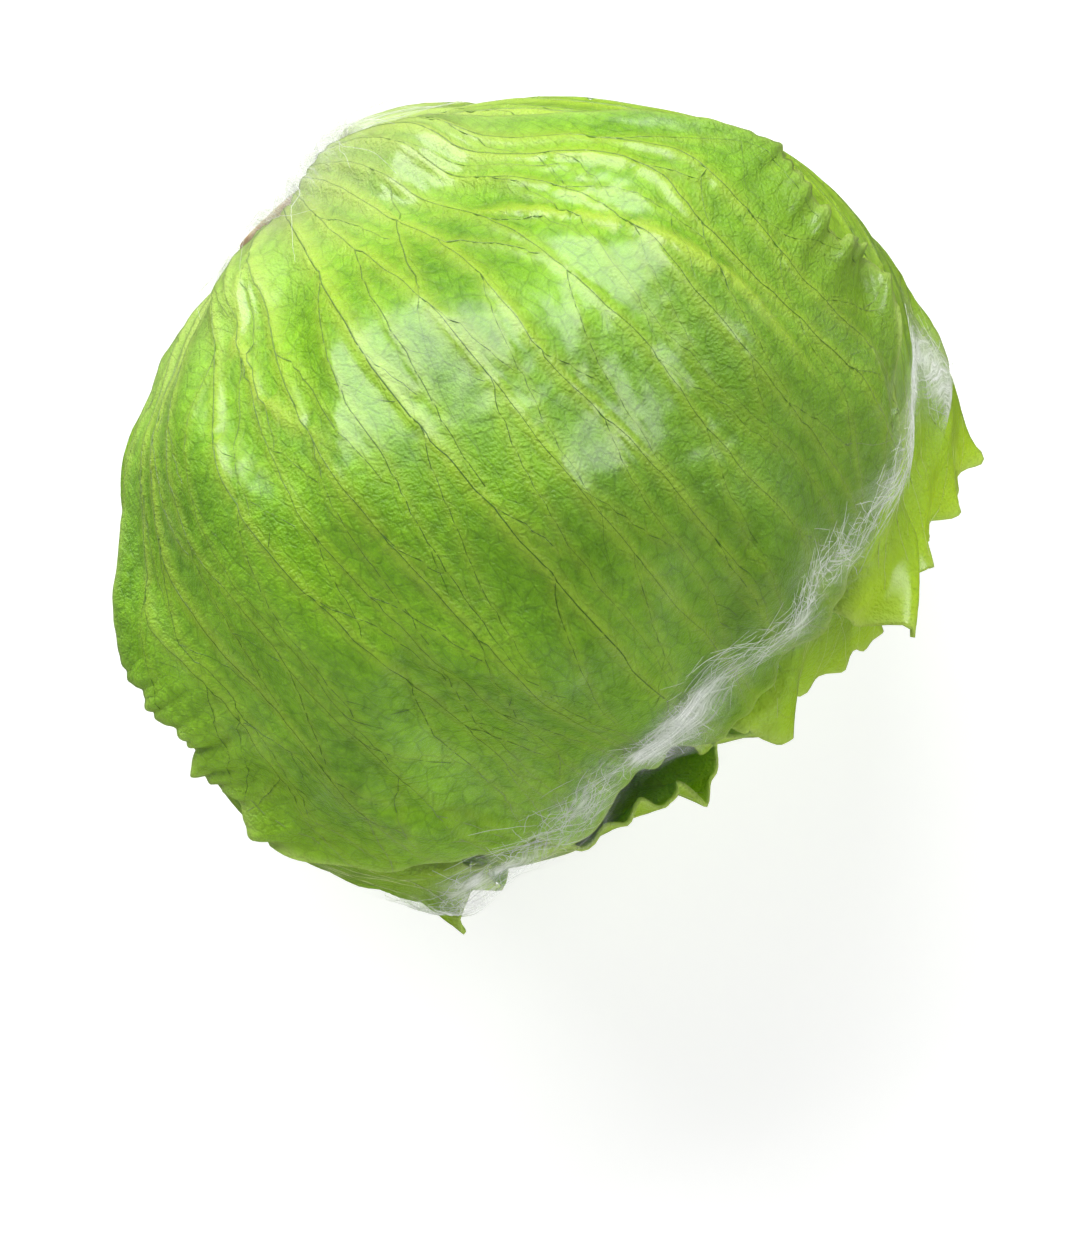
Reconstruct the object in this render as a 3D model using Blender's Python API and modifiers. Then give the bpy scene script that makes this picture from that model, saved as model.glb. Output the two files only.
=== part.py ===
"""A head of iceberg lettuce in its clear film, lying on its side.

The head grows along +X, from the cut stem at -X to the closed crown at +X, and rests on z = 0.
It is built from the inside out: the stem, the tight heart round it, nine separate leaves laid one
over another, and the film drawn round them all. Every layer is the heart's own shape, lifted by
the leaves that lie under it, so a leaf drapes over the edges of the leaves below.

Directions are taken from the middle of the head. A leaf has a midrib, which runs from the stem
over one side of the head, and a turn, which is where that midrib passes round the head's axis:
0 degrees is the top, 90 degrees is +Y and 180 degrees is underneath.
"""

import math

import bmesh
import bpy
from mathutils import Matrix, Vector

# Heart, in metres from its middle
HEART_TO_STEM = 0.0550
HEART_TO_CROWN = 0.0545
HEART_HALF_WIDTH = 0.0720
HEART_HALF_HEIGHT = 0.0670
HEART_MIDDLE_TO_UNDERSIDE = 0.0630  # its own weight presses the underside flat
STEM_END_POWER = 2.1
CROWN_END_POWER = 2.2  # over 2 the end is blunter than an ellipse

# Stem, in metres
STEM_BUTT_RADIUS = 0.0140
STEM_ROOT_RADIUS = 0.0090
STEM_LENGTH = 0.0300
STEM_STANDS_OUT = 0.0080  # past the heart's stem end
STEM_CHAMFER = 0.0012
STEM_CLEARANCE = 0.0006

# Leaves, in metres and degrees
LEAF_THICKNESS = 0.0012
LEAF_GAP = 0.0016  # the air between one leaf and the next
LEAF_DRAPE = 0.0440  # how far past an edge a leaf needs to come down to the one below
LEAF_BASE_CLEARANCE = 0.0022  # from the stem's side to a leaf's foot
LEAF_FOOT_SPREAD = 13.0  # half the angle that a leaf's foot takes
LEAF_FULL_SPREAD_AT = 0.45  # the share of its length at which a leaf is fully wide
LEAF_TIP_NARROWING = 0.12
LEAF_CORNER_ROUNDING = 0.22

# From the heart outwards: name, and turn, half spread and reach along the midrib in degrees
LEAVES = [
    ("cap_leaf_under", 180.0, 58.0, 204.0),
    ("cap_leaf_over", -28.0, 60.0, 196.0),
    ("cap_leaf_side", 98.0, 58.0, 186.0),
    ("head_leaf_left", -128.0, 60.0, 172.0),
    ("head_leaf_right", 46.0, 62.0, 166.0),
    ("wrapper_leaf_under", 168.0, 64.0, 150.0),
    ("wrapper_leaf_left", -98.0, 58.0, 148.0),
    ("wrapper_leaf_right", 92.0, 50.0, 140.0),
    ("wrapper_leaf_top", -6.0, 66.0, 158.0),
]

# Film, in metres and degrees
FILM_THICKNESS = 0.0004
FILM_GAP = 0.0012
FILM_DRAPE = 0.0500  # film is drawn tight, so it comes down slowly past an edge
FILM_GATHER_RADIUS = 0.0085  # the hole left in the middle of the gather, over the stem
REST_PATCH_ANGLE = 17.0  # half the angle of the flat patch that the head rests on
REST_PATCH_BLEND = 16.0

# The longest side of a facet on each surface, in metres
HEART_FACET = 0.0150
LEAF_FACET = 0.0110
FILM_FACET = 0.0120
STEM_STEPS = 24
CUTTER_OVERRUN = 0.0200
MERGE_DISTANCE = 0.00005

TO_STEM = Vector((-1.0, 0.0, 0.0))
DOWN = Vector((0.0, 0.0, -1.0))
MEAN_RADIUS = (HEART_HALF_WIDTH + HEART_HALF_HEIGHT) / 2
HEART_STEM_FACE = -HEART_TO_STEM
STEM_FACE = HEART_STEM_FACE - STEM_STANDS_OUT
LEAF_FOOT_ANGLE = math.asin((STEM_BUTT_RADIUS + LEAF_BASE_CLEARANCE) / HEART_TO_STEM)


def smooth_step(low, high, value):
    """0 up to low, 1 from high, and an even curve between them."""
    share = min(1.0, max(0.0, (value - low) / (high - low)))
    return share * share * (3.0 - 2.0 * share)


class Leaf:
    """Where one leaf lies, as directions from the middle of the head."""

    def __init__(self, name, turn, spread, reach):
        self.name = name
        self.spread = math.radians(spread)
        self.length = math.radians(reach) - LEAF_FOOT_ANGLE
        angle = math.radians(turn)
        self.side = Vector((0.0, math.sin(angle), math.cos(angle)))
        self.across = Vector((0.0, -math.cos(angle), math.sin(angle)))

    def half_spread(self, along):
        """Half the angle that the leaf takes at this share of its length."""
        foot = math.radians(LEAF_FOOT_SPREAD)
        opened = smooth_step(0.0, LEAF_FULL_SPREAD_AT, along)
        narrowed = 1.0 - LEAF_TIP_NARROWING * smooth_step(0.75, 1.0, along)
        return (foot + (self.spread - foot) * opened) * narrowed

    def direction(self, u, v):
        """u runs -1 to 1 across the leaf, and v runs 0 to 1 from its foot to its tip."""
        along = v * (1.0 - LEAF_CORNER_ROUNDING * abs(u) ** 3)
        angle = LEAF_FOOT_ANGLE + along * self.length
        lean = u * self.half_spread(along)
        midrib = TO_STEM * math.cos(angle) + self.side * math.sin(angle)
        return midrib * math.cos(lean) + self.across * math.sin(lean)

    def past_edge(self, direction):
        """How far a direction lies past the leaf's edge, in metres, or 0 on the leaf."""
        lean = math.asin(max(-1.0, min(1.0, direction.dot(self.across))))
        angle = math.atan2(direction.dot(self.side), direction.dot(TO_STEM))
        if angle < -math.pi / 2:
            angle += 2.0 * math.pi  # past the crown, on the far side
        along = (angle - LEAF_FOOT_ANGLE) / self.length
        spread = self.half_spread(along)
        u = min(1.0, abs(lean) / spread)
        v = along / (1.0 - LEAF_CORNER_ROUNDING * u**3)
        past_side = max(0.0, abs(lean) - spread)
        past_end = max(0.0, v - 1.0, -along) * self.length
        return math.hypot(past_side, past_end) * MEAN_RADIUS

    def lift(self, direction, drape):
        """How far this leaf raises what lies over it, in this direction."""
        covered = 1.0 - smooth_step(0.0, drape, self.past_edge(direction))
        return covered * (LEAF_THICKNESS + LEAF_GAP)


def heart_radius(direction):
    """From the middle of the head to the heart's surface, before its underside is pressed flat."""
    end = HEART_TO_STEM if direction.x < 0.0 else HEART_TO_CROWN
    power = STEM_END_POWER if direction.x < 0.0 else CROWN_END_POWER
    round_it = math.hypot(direction.y / HEART_HALF_WIDTH, direction.z / HEART_HALF_HEIGHT)
    return (abs(direction.x / end) ** power + round_it**power) ** (-1.0 / power)


def layer_point(direction, lift):
    """The point that lies lift above the heart in this direction, with the underside kept level."""
    radius = heart_radius(direction) + lift
    if direction.z < 0.0:
        radius = min(radius, (HEART_MIDDLE_TO_UNDERSIDE + lift) / -direction.z)
    return MIDDLE + direction * radius


def lift_under(leaf_number, direction):
    """The thickness of all that lies between the heart and this leaf."""
    return LEAF_GAP + sum(leaf.lift(direction, LEAF_DRAPE) for leaf in leaves[:leaf_number])


def stem_bulge(direction):
    """How far the film is pushed out by the end of the stem."""
    off_axis = math.acos(max(-1.0, min(1.0, direction.dot(TO_STEM)))) * HEART_TO_STEM
    reached = 1.0 - smooth_step(STEM_BUTT_RADIUS, STEM_BUTT_RADIUS + FILM_DRAPE, off_axis)
    return reached * STEM_STANDS_OUT


def film_lift_over_leaves(direction):
    return LEAF_GAP + FILM_GAP + sum(leaf.lift(direction, FILM_DRAPE) for leaf in leaves)


def rest_lift():
    """The film's height over the heart on the flat patch: its greatest anywhere near the patch."""
    rings, spokes = 5, 24
    greatest = film_lift_over_leaves(DOWN)
    for ring in range(1, rings + 1):
        tilt = math.radians(REST_PATCH_ANGLE + REST_PATCH_BLEND) * ring / rings
        for spoke in range(spokes):
            turn = 2.0 * math.pi * spoke / spokes
            flat = Vector((math.cos(turn), math.sin(turn), 0.0))
            probe = DOWN * math.cos(tilt) + flat * math.sin(tilt)
            greatest = max(greatest, film_lift_over_leaves(probe))
    return greatest


def film_lift(direction):
    lift = max(film_lift_over_leaves(direction), stem_bulge(direction) + FILM_GAP)
    off_down = math.degrees(math.acos(max(-1.0, min(1.0, direction.dot(DOWN)))))
    level = 1.0 - smooth_step(REST_PATCH_ANGLE, REST_PATCH_ANGLE + REST_PATCH_BLEND, off_down)
    return lift + (REST_LIFT - lift) * level


def material(name, colour, roughness, alpha=1.0):
    made = bpy.data.materials.new(name)
    made.use_nodes = True
    shader = made.node_tree.nodes["Principled BSDF"]
    shader.inputs["Base Color"].default_value = (*colour, 1.0)
    shader.inputs["Roughness"].default_value = roughness
    shader.inputs["Metallic"].default_value = 0.0
    shader.inputs["Alpha"].default_value = alpha
    made.diffuse_color = (*colour, alpha)
    return made


def adopt(obj, name, finish, collection):
    """Names the object, gives it its material and puts it in one collection."""
    obj.name = obj.data.name = name
    obj.data.materials.append(finish)
    for other in list(obj.users_collection):
        other.objects.unlink(obj)
    collection.objects.link(obj)
    return obj


def round_the_axis(facet):
    """A unit sphere whose poles are the stem's end and the crown."""
    rings = math.ceil(math.pi * MEAN_RADIUS / facet)
    bpy.ops.mesh.primitive_uv_sphere_add(segments=2 * rings, ring_count=rings, radius=1.0)
    ball = bpy.context.object
    ball.data.transform(Matrix.Rotation(-math.pi / 2, 4, "Y"))
    return ball


def stem_profile(clearance, overrun):
    """The stem's half outline as (distance from the axis, x), from the cut face to the root."""
    face = STEM_FACE - overrun
    root = STEM_FACE + STEM_LENGTH + clearance
    butt = STEM_BUTT_RADIUS + clearance
    chamfer = STEM_CHAMFER if overrun == 0.0 else 0.0
    return [
        (0.0, face),
        (butt - chamfer, face),
        (butt, face + chamfer),
        (butt, HEART_STEM_FACE + clearance),
        (STEM_ROOT_RADIUS + clearance, root),
        (0.0, root),
    ]


def turned_about_x(points):
    """An object turned about the X axis through the middle of the head."""
    mesh = bpy.data.meshes.new("profile")
    places = [(x, 0.0, radius) for radius, x in points]
    mesh.from_pydata(places, [(i, i + 1) for i in range(len(places) - 1)], [])
    obj = bpy.data.objects.new("profile", mesh)
    bpy.context.scene.collection.objects.link(obj)
    obj.location = MIDDLE
    screw = obj.modifiers.new("turn", "SCREW")
    screw.axis = "X"
    screw.steps = screw.render_steps = STEM_STEPS
    screw.use_merge_vertices = True
    screw.merge_threshold = MERGE_DISTANCE
    screw.use_normal_flip = True
    return obj


def make_stem(collection):
    stem = turned_about_x(stem_profile(0.0, 0.0))
    return adopt(stem, "stem", material("stem", (0.80, 0.82, 0.62), 0.6), collection)


def make_stem_cutter(collection):
    cutter = turned_about_x(stem_profile(STEM_CLEARANCE, CUTTER_OVERRUN))
    adopt(cutter, "stem_cutter", material("cutter", (0.5, 0.5, 0.5), 0.5), collection)
    cutter.hide_render = True
    cutter.display_type = "WIRE"
    return cutter


def make_heart(collection, cutter):
    """The tight inner leaves, which have grown into one ball, with the socket that the stem fills."""
    heart = round_the_axis(HEART_FACET)
    for vertex in heart.data.vertices:
        vertex.co = layer_point(vertex.co.normalized(), 0.0)
    socket = heart.modifiers.new("stem socket", "BOOLEAN")
    socket.operation = "DIFFERENCE"
    socket.solver = "EXACT"
    socket.object = cutter
    return adopt(heart, "heart", material("heart", (0.62, 0.74, 0.36), 0.55), collection)


def make_leaf(number, leaf, finish, collection):
    """A grid laid on the layers below it, and thickened outwards."""
    bpy.ops.mesh.primitive_grid_add(
        x_subdivisions=math.ceil(2.0 * leaf.spread * MEAN_RADIUS / LEAF_FACET),
        y_subdivisions=math.ceil(leaf.length * MEAN_RADIUS / LEAF_FACET),
        size=2.0,
    )
    obj = bpy.context.object
    for vertex in obj.data.vertices:
        u, v = vertex.co.x, (vertex.co.y + 1.0) / 2.0
        direction = leaf.direction(u, v)
        vertex.co = layer_point(direction, lift_under(number, direction))
    thicken(obj, LEAF_THICKNESS)
    obj.data.shade_smooth()
    return adopt(obj, leaf.name, finish, collection)


def thicken(obj, thickness):
    wall = obj.modifiers.new("thickness", "SOLIDIFY")
    wall.thickness = thickness
    wall.offset = 1.0
    wall.use_even_offset = False


def make_film(collection):
    """The film as an open bag, whose mouth is the gather over the stem."""
    film = round_the_axis(FILM_FACET)
    mouth_angle = math.atan(FILM_GATHER_RADIUS / -STEM_FACE)
    cage = bmesh.new()
    cage.from_mesh(film.data)
    pole = [v for v in cage.verts if v.co.normalized().dot(TO_STEM) > 0.9999]
    bmesh.ops.delete(cage, geom=pole, context="VERTS")
    for vertex in cage.verts:
        direction = vertex.co.normalized()
        if vertex.is_boundary:
            off_axis = (direction - TO_STEM * direction.dot(TO_STEM)).normalized()
            direction = TO_STEM * math.cos(mouth_angle) + off_axis * math.sin(mouth_angle)
        vertex.co = layer_point(direction, film_lift(direction))
    cage.to_mesh(film.data)
    cage.free()
    thicken(film, FILM_THICKNESS)
    film.data.shade_smooth()
    return adopt(film, "clear_film", material("film", (0.95, 0.97, 0.95), 0.15, 0.2), collection)


def centre_on_origin(outermost, pieces):
    """Hangs every piece on one empty, and moves it so that the outermost is centred on the origin."""
    head = bpy.data.objects.new("head", None)
    bpy.context.scene.collection.objects.link(head)
    for piece in pieces:
        piece.parent = head
    bpy.context.view_layer.update()
    evaluated = outermost.evaluated_get(bpy.context.evaluated_depsgraph_get())
    corners = [evaluated.matrix_world @ Vector(corner) for corner in evaluated.bound_box]
    for axis in range(2):
        lowest = min(corner[axis] for corner in corners)
        highest = max(corner[axis] for corner in corners)
        head.location[axis] = -(lowest + highest) / 2


leaves = [Leaf(*row) for row in LEAVES]
REST_LIFT = rest_lift()
MIDDLE = Vector((0.0, 0.0, HEART_MIDDLE_TO_UNDERSIDE + REST_LIFT + FILM_THICKNESS))


def main():
    for old in list(bpy.data.objects):
        bpy.data.objects.remove(old)
    lettuce = bpy.data.collections.new("lettuce")
    cutters = bpy.data.collections.new("cutters")
    bpy.context.scene.collection.children.link(lettuce)
    bpy.context.scene.collection.children.link(cutters)
    make_stem(lettuce)
    make_heart(lettuce, make_stem_cutter(cutters))
    leaf_green = material("leaf", (0.30, 0.52, 0.10), 0.4)
    for number, leaf in enumerate(leaves):
        make_leaf(number, leaf, leaf_green, lettuce)
    film = make_film(lettuce)
    centre_on_origin(film, list(lettuce.objects) + list(cutters.objects))


main()
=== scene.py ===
# %% [markdown]
# # A head of iceberg lettuce in its clear film
# A lettuce head is a rosette of leaves on a short stem, each leaf wrapped round the younger ones
# inside it. We build it the same way, from the inside out: a heart, a cut stem, nine separate
# leaves with their ribs and frilled tips, and the film drawn tight round them all.
#
# The CAD model fixes where everything is, so the first cell loads it and every size below is read
# from it or is a named value in metres.

# %% Load the frame
import math

import bmesh
import bpy
import numpy as np
from mathutils import Matrix, Vector


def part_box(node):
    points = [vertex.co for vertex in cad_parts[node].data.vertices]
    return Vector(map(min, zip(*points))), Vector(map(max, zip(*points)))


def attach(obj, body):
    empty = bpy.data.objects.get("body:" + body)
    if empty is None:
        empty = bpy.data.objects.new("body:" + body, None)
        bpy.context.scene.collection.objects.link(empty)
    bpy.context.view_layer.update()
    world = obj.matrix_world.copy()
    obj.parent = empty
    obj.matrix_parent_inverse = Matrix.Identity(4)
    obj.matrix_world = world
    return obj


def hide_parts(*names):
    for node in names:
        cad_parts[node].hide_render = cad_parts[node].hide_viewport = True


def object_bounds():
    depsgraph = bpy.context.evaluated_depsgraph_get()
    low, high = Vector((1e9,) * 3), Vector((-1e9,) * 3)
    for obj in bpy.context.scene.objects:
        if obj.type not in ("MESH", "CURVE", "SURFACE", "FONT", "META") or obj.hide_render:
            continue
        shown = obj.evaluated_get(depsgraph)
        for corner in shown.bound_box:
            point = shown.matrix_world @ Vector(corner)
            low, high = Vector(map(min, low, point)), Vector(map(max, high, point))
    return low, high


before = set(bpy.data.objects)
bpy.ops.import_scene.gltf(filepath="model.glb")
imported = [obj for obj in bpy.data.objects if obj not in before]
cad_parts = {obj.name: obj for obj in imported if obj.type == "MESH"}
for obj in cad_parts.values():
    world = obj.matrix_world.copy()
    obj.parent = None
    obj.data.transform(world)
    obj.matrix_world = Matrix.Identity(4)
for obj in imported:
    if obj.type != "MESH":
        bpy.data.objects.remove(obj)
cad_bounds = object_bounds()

SEED = 11
print("CAD nodes:", sorted(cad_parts))
print("CAD box:", [[round(value, 4) for value in corner] for corner in cad_bounds])

# %% [markdown]
# ## The shape that every layer shares
# A head is nearly an ellipsoid, a little blunter at the crown. We describe it as a radius for each
# direction from the middle of the head, because then a layer that lies over another is just the
# same radius with something added, and layers can't cut through each other. The underside is kept
# level, as the head's own weight presses it flat. A few long waves and two broad swells, shared by
# every layer, make the soft uneven form that a real head has.

# %% Head shape
heart_low, heart_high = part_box("heart")
HALF_LENGTH = (heart_high.x - heart_low.x) / 2
HALF_WIDTH = (heart_high.y - heart_low.y) / 2
HALF_HEIGHT = 0.93 * HALF_WIDTH
MIDDLE = np.array([
    (heart_low.x + heart_high.x) / 2,
    (heart_low.y + heart_high.y) / 2,
    heart_high.z - HALF_HEIGHT,
])
UNDERSIDE_SAG = 0.0044  # soft leaves settle further than stiff CAD ones
MIDDLE_TO_UNDERSIDE = MIDDLE[2] - heart_low.z + UNDERSIDE_SAG
UNDERSIDE_FULLNESS = 0.0015  # the head sags under its own weight
STEM_END_POWER, CROWN_END_POWER = 2.1, 2.2
LUMPS, LUMP_HEIGHT = 18, 0.0042
SLOWEST_LUMP, FASTEST_LUMP = 4.0, 15.0  # radians of wave from the head's middle to its skin
FOLDS, FOLD_HEIGHT = 7, 0.0013
FEWEST_FOLD_WAVES, MOST_FOLD_WAVES = 5, 15  # round the stem; the second number isn't reached
# Where the head is fuller or flatter than an ellipsoid: degrees from +X towards +Y, height, width.
SWELLS = [(-62.0, 0.0113, 0.50), (-155.0, -0.0045, 0.35)]
TO_STEM = np.array([-1.0, 0.0, 0.0])
MEAN_RADIUS = (HALF_WIDTH + HALF_HEIGHT) / 2
print("heart half sizes:", round(HALF_LENGTH, 4), round(HALF_WIDTH, 4), round(HALF_HEIGHT, 4))


# %% Lumps, folds and swells
def smooth_step(low, high, value):
    share = np.clip((value - low) / (high - low), 0.0, 1.0)
    return share * share * (3.0 - 2.0 * share)


def any_turn(draw):
    """A random angle, for where a wave starts."""
    return draw.uniform(0, 6.28)


def lumps(way):
    """Waves in random directions, the slow ones highest, folds that run from the stem, and swells."""
    draw = np.random.default_rng(SEED)
    height = np.zeros(way.shape[:-1])
    for _ in range(LUMPS):
        axis = draw.normal(size=3)
        waves = draw.uniform(SLOWEST_LUMP, FASTEST_LUMP)
        axis = axis / np.linalg.norm(axis)
        height += LUMP_HEIGHT * np.sin(waves * way @ axis + any_turn(draw)) / waves
    round_stem = np.arctan2(way[..., 1], way[..., 2])
    from_stem = np.arccos(np.clip(-way[..., 0], -1.0, 1.0))
    for _ in range(FOLDS):
        folds = draw.integers(FEWEST_FOLD_WAVES, MOST_FOLD_WAVES)
        turn = draw.uniform(-2.5, 2.5) * from_stem + any_turn(draw)
        uneven = 0.6 + 0.4 * np.sin(draw.uniform(2, 4) * from_stem + any_turn(draw))
        fades = np.sin(from_stem) ** 2 * uneven
        height += FOLD_HEIGHT * fades * np.sin(folds * round_stem + turn) / math.sqrt(folds)
    for bearing, swell, width in SWELLS:
        towards = np.array([math.cos(math.radians(bearing)), math.sin(math.radians(bearing)), 0.0])
        height += swell * np.exp(-((np.arccos(np.clip(way @ towards, -1.0, 1.0)) / width) ** 2))
    return height


print("lump on top of the head:", round(float(lumps(np.array([0.0, 0.0, 1.0]))), 5))


# %% Points on a layer
def heart_radius(way):
    power = np.where(way[..., 0] < 0.0, STEM_END_POWER, CROWN_END_POWER)
    half_height = np.where(way[..., 2] < 0.0, HALF_HEIGHT + UNDERSIDE_FULLNESS, HALF_HEIGHT)
    round_it = np.hypot(way[..., 1] / HALF_WIDTH, way[..., 2] / half_height)
    return (np.abs(way[..., 0] / HALF_LENGTH) ** power + round_it**power) ** (-1.0 / power)


def layer_points(way, lift):
    """The points that lie lift above the heart in these directions."""
    radius = heart_radius(way) + lumps(way) + lift
    level = (MIDDLE_TO_UNDERSIDE + lift) / np.maximum(-way[..., 2], 1e-6)
    return MIDDLE + way * np.minimum(radius, level)[..., None]


print("top of the heart:", round(float(layer_points(np.array([0.0, 0.0, 1.0]), 0.0)[2]), 4))

# %% [markdown]
# ## Where each leaf lies
# A leaf starts at the stem and follows a midrib over one side of the head. Its turn says on which
# side: 0 degrees is the top, 90 is +Y and 180 is underneath. u runs across a leaf from -1 to 1 and
# v runs from its foot to its tip. These are the CAD leaves again, with what a plain solid leaves
# out: how much the tip flares away from the head, how strongly its edge frills, how yellow the
# frill is, how round the tip is, and how much further it reaches on one side.

# %% Leaf layout
LEAF_STEP = 0.0028  # from one layer to the next
LEAF_THICKNESS = 0.0008
LEAF_DRAPE = 0.0150
FIRST_AIR = 0.0016
LEAF_FOOT_SPREAD = math.radians(26.0)
LEAF_FOOT_ANGLE = 0.255
FOOT_WRAP = math.radians(64.0)  # how far a foot reaches round the stem, each way
FOOT_END_ANGLE = 0.62  # radians from the stem's axis
FOOT_SHARE = 0.30  # of the leaf's length, where it still wraps the stem
FULL_SPREAD_AT = 0.38
EDGE_ROOM = 0.0050  # a leaf's edge is free this far from a leaf that lies over it
TIP_NARROWING = 0.12
print("leaf thickness", LEAF_THICKNESS, "and step between layers", LEAF_STEP)


# %% One leaf's layout
def rounded_off(u):
    """0 on the midrib and nearly 1 at the sides, as the end of an ellipse curves."""
    return 1.0 - np.sqrt(1.0 - 0.97 * np.clip(np.abs(u), 0.0, 1.0) ** 2)


class Leaf:
    def __init__(self, name, turn, spread, reach, flare, frill, yellow, cells, rounding=0.22, slant=0.0):
        self.name = name
        self.rounding = rounding
        self.slant = slant  # how much further the leaf reaches on its +u side
        self.flare, self.flare_depth = flare
        self.frill = frill
        self.yellow = yellow
        self.cells = cells
        self.spread = math.radians(spread)
        self.length = math.radians(reach) - LEAF_FOOT_ANGLE
        angle = math.radians(turn)
        self.side = np.array([0.0, math.sin(angle), math.cos(angle)])
        self.across = np.array([0.0, -math.cos(angle), math.sin(angle)])

    def half_spread(self, along):
        opened = smooth_step(0.0, FULL_SPREAD_AT, along)
        narrowed = 1.0 - TIP_NARROWING * smooth_step(0.75, 1.0, along)
        return (LEAF_FOOT_SPREAD + (self.spread - LEAF_FOOT_SPREAD) * opened) * narrowed

    def ways(self, u, v):
        """The directions, from the middle of the head, of places on the leaf."""
        along = v * (1.0 - self.rounding * rounded_off(u) + self.slant * u)
        angle = LEAF_FOOT_ANGLE + along * self.length
        lean = u * self.half_spread(along)
        midrib = np.cos(angle)[..., None] * TO_STEM + np.sin(angle)[..., None] * self.side
        spread_way = midrib * np.cos(lean)[..., None] + np.sin(lean)[..., None] * self.across
        turn = (u * FOOT_WRAP)[..., None]
        foot_way = np.cos(angle)[..., None] * TO_STEM
        foot_side = self.side * np.cos(turn) + self.across * np.sin(turn)
        foot_way = foot_way + np.sin(angle)[..., None] * foot_side
        share = smooth_step(0.0, FOOT_SHARE, along)[..., None]
        way = foot_way * (1.0 - share) + spread_way * share
        return way / np.linalg.norm(way, axis=-1)[..., None]

    def covers(self, way, drape):
        """1 where the leaf lies, falling to 0 at the drape's distance past its edge."""
        lean = np.arcsin(np.clip(way @ self.across, -1.0, 1.0))
        angle = np.arctan2(way @ self.side, way @ TO_STEM)
        angle = np.where(angle < -math.pi / 2, angle + 2.0 * math.pi, angle)
        along = (angle - LEAF_FOOT_ANGLE) / self.length
        spread = self.half_spread(along)
        u = np.clip(lean / spread, -1.0, 1.0)
        v = along / (1.0 - self.rounding * rounded_off(u) + self.slant * u)
        past_side = np.maximum(0.0, np.abs(lean) - spread)
        past_end = np.maximum(0.0, np.maximum(v - 1.0, -along)) * self.length
        past = np.hypot(past_side, past_end)
        from_stem = np.arccos(np.clip(way @ TO_STEM, -1.0, 1.0))
        turn = np.abs(np.arctan2(way @ self.across, way @ self.side))
        past_ring = np.maximum(0.0, LEAF_FOOT_ANGLE - from_stem) + np.maximum(0.0, from_stem - FOOT_END_ANGLE)
        past_foot = np.hypot(np.maximum(0.0, turn - FOOT_WRAP) * np.sin(from_stem), past_ring)
        return 1.0 - smooth_step(0.0, drape, np.minimum(past, past_foot) * MEAN_RADIUS)


print("a leaf's foot reaches", round(math.degrees(FOOT_WRAP)), "degrees round the stem, each way")

# %% The nine leaves
# name, turn, half spread, reach in degrees; flare and its depth, frill in metres; yellow; cells;
# and where they differ from the usual, rounding and slant
LEAVES = [
    Leaf("cap_leaf_under", 180.0, 58.0, 204.0, (0.003, 0.020), 0.0022, 0.9, (110, 130)),
    Leaf("cap_leaf_over", -28.0, 60.0, 196.0, (0.003, 0.020), 0.0022, 0.8, (110, 130)),
    Leaf("cap_leaf_side", 98.0, 58.0, 186.0, (0.004, 0.020), 0.0024, 0.9, (110, 130)),
    Leaf("head_leaf_left", -128.0, 60.0, 172.0, (0.006, 0.022), 0.0027, 0.8, (130, 150)),
    Leaf("head_leaf_right", 46.0, 62.0, 166.0, (0.0075, 0.024), 0.0026, 0.9, (130, 150)),
    Leaf("wrapper_leaf_under", 168.0, 64.0, 150.0, (0.010, 0.028), 0.0040, 1.0, (160, 180)),
    Leaf("wrapper_leaf_left", -98.0, 58.0, 137.0, (0.0035, 0.026), 0.0032, 0.6, (160, 180)),
    Leaf("wrapper_leaf_right", 90.0, 52.0, 139.0, (0.0095, 0.050), 0.0042, 1.3, (170, 185), 0.16, 0.26),
    Leaf("wrapper_leaf_top", -6.0, 66.0, 158.0, (0.0010, 0.020), 0.0011, 0.25, (180, 200)),
]


def lift_under(number, way):
    below = LEAVES[:number]
    return FIRST_AIR + LEAF_STEP * sum((leaf.covers(way, LEAF_DRAPE) for leaf in below), np.zeros(1))


def freedom(number, way):
    """1 where nothing lies over this leaf, so that its edge is free to flare and frill."""
    free = np.ones(way.shape[:-1])
    for leaf in LEAVES[number + 1:]:
        free *= 1.0 - leaf.covers(way, EDGE_ROOM)
    return free


print("leaves, from the heart outwards:", [leaf.name for leaf in LEAVES])

# %% [markdown]
# ## Frilled edges
# The blade grows faster at its edge than further in, so the edge has more length than room and
# buckles into frills, and the frills carry small uneven teeth. We add both to the flat leaf before
# it is bent: waves that die out a few millimetres in from the edge, and teeth that push the edge
# itself out. A place's bearing round the leaf drives the waves, so they run straight inwards. Cloth
# simulation could grow such frills too, but sums of waves are quick and come out the same each time.

# %% Frill sizes
FRILL_DEPTH = 0.0080  # how far in from the edge the waves reach
TOOTH_DEPTH = 0.0030
TOOTH_HEIGHT = 0.0021
LOBE_DEPTH = 0.0200
LOBE_HEIGHT = 0.0022
EDGE_CURL = 0.0028
FLARE_POWER = 1.15
FULL_FRILL = 0.0036  # leaves that frill less than this have shorter teeth
LOWEST_LEAF = 0.0011  # above the table
CORNER = 0.003  # where the side and the tip meet, the edge is rounded by this much
BEARING_TO_LENGTH = 0.06  # the edge's length for each radian of bearing
SHARP_TEETH, SMALL_TEETH, TOOTH_GROUPS = (0.0113, 0.0067), (0.0029, 0.0043), (0.037, 0.023)
LOBES, FRILLS, SMALL_FRILLS = (0.052, 0.034, 0.021), (0.0190, 0.0123, 0.0083), (0.0057, 0.0041)
SMALL_FRILL_DEPTH = 0.0035
STILL = 0.12  # the share of frill that is left near the foot and under another leaf
print("frills reach", FRILL_DEPTH, "in from the edge, and teeth", TOOTH_DEPTH)


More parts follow.
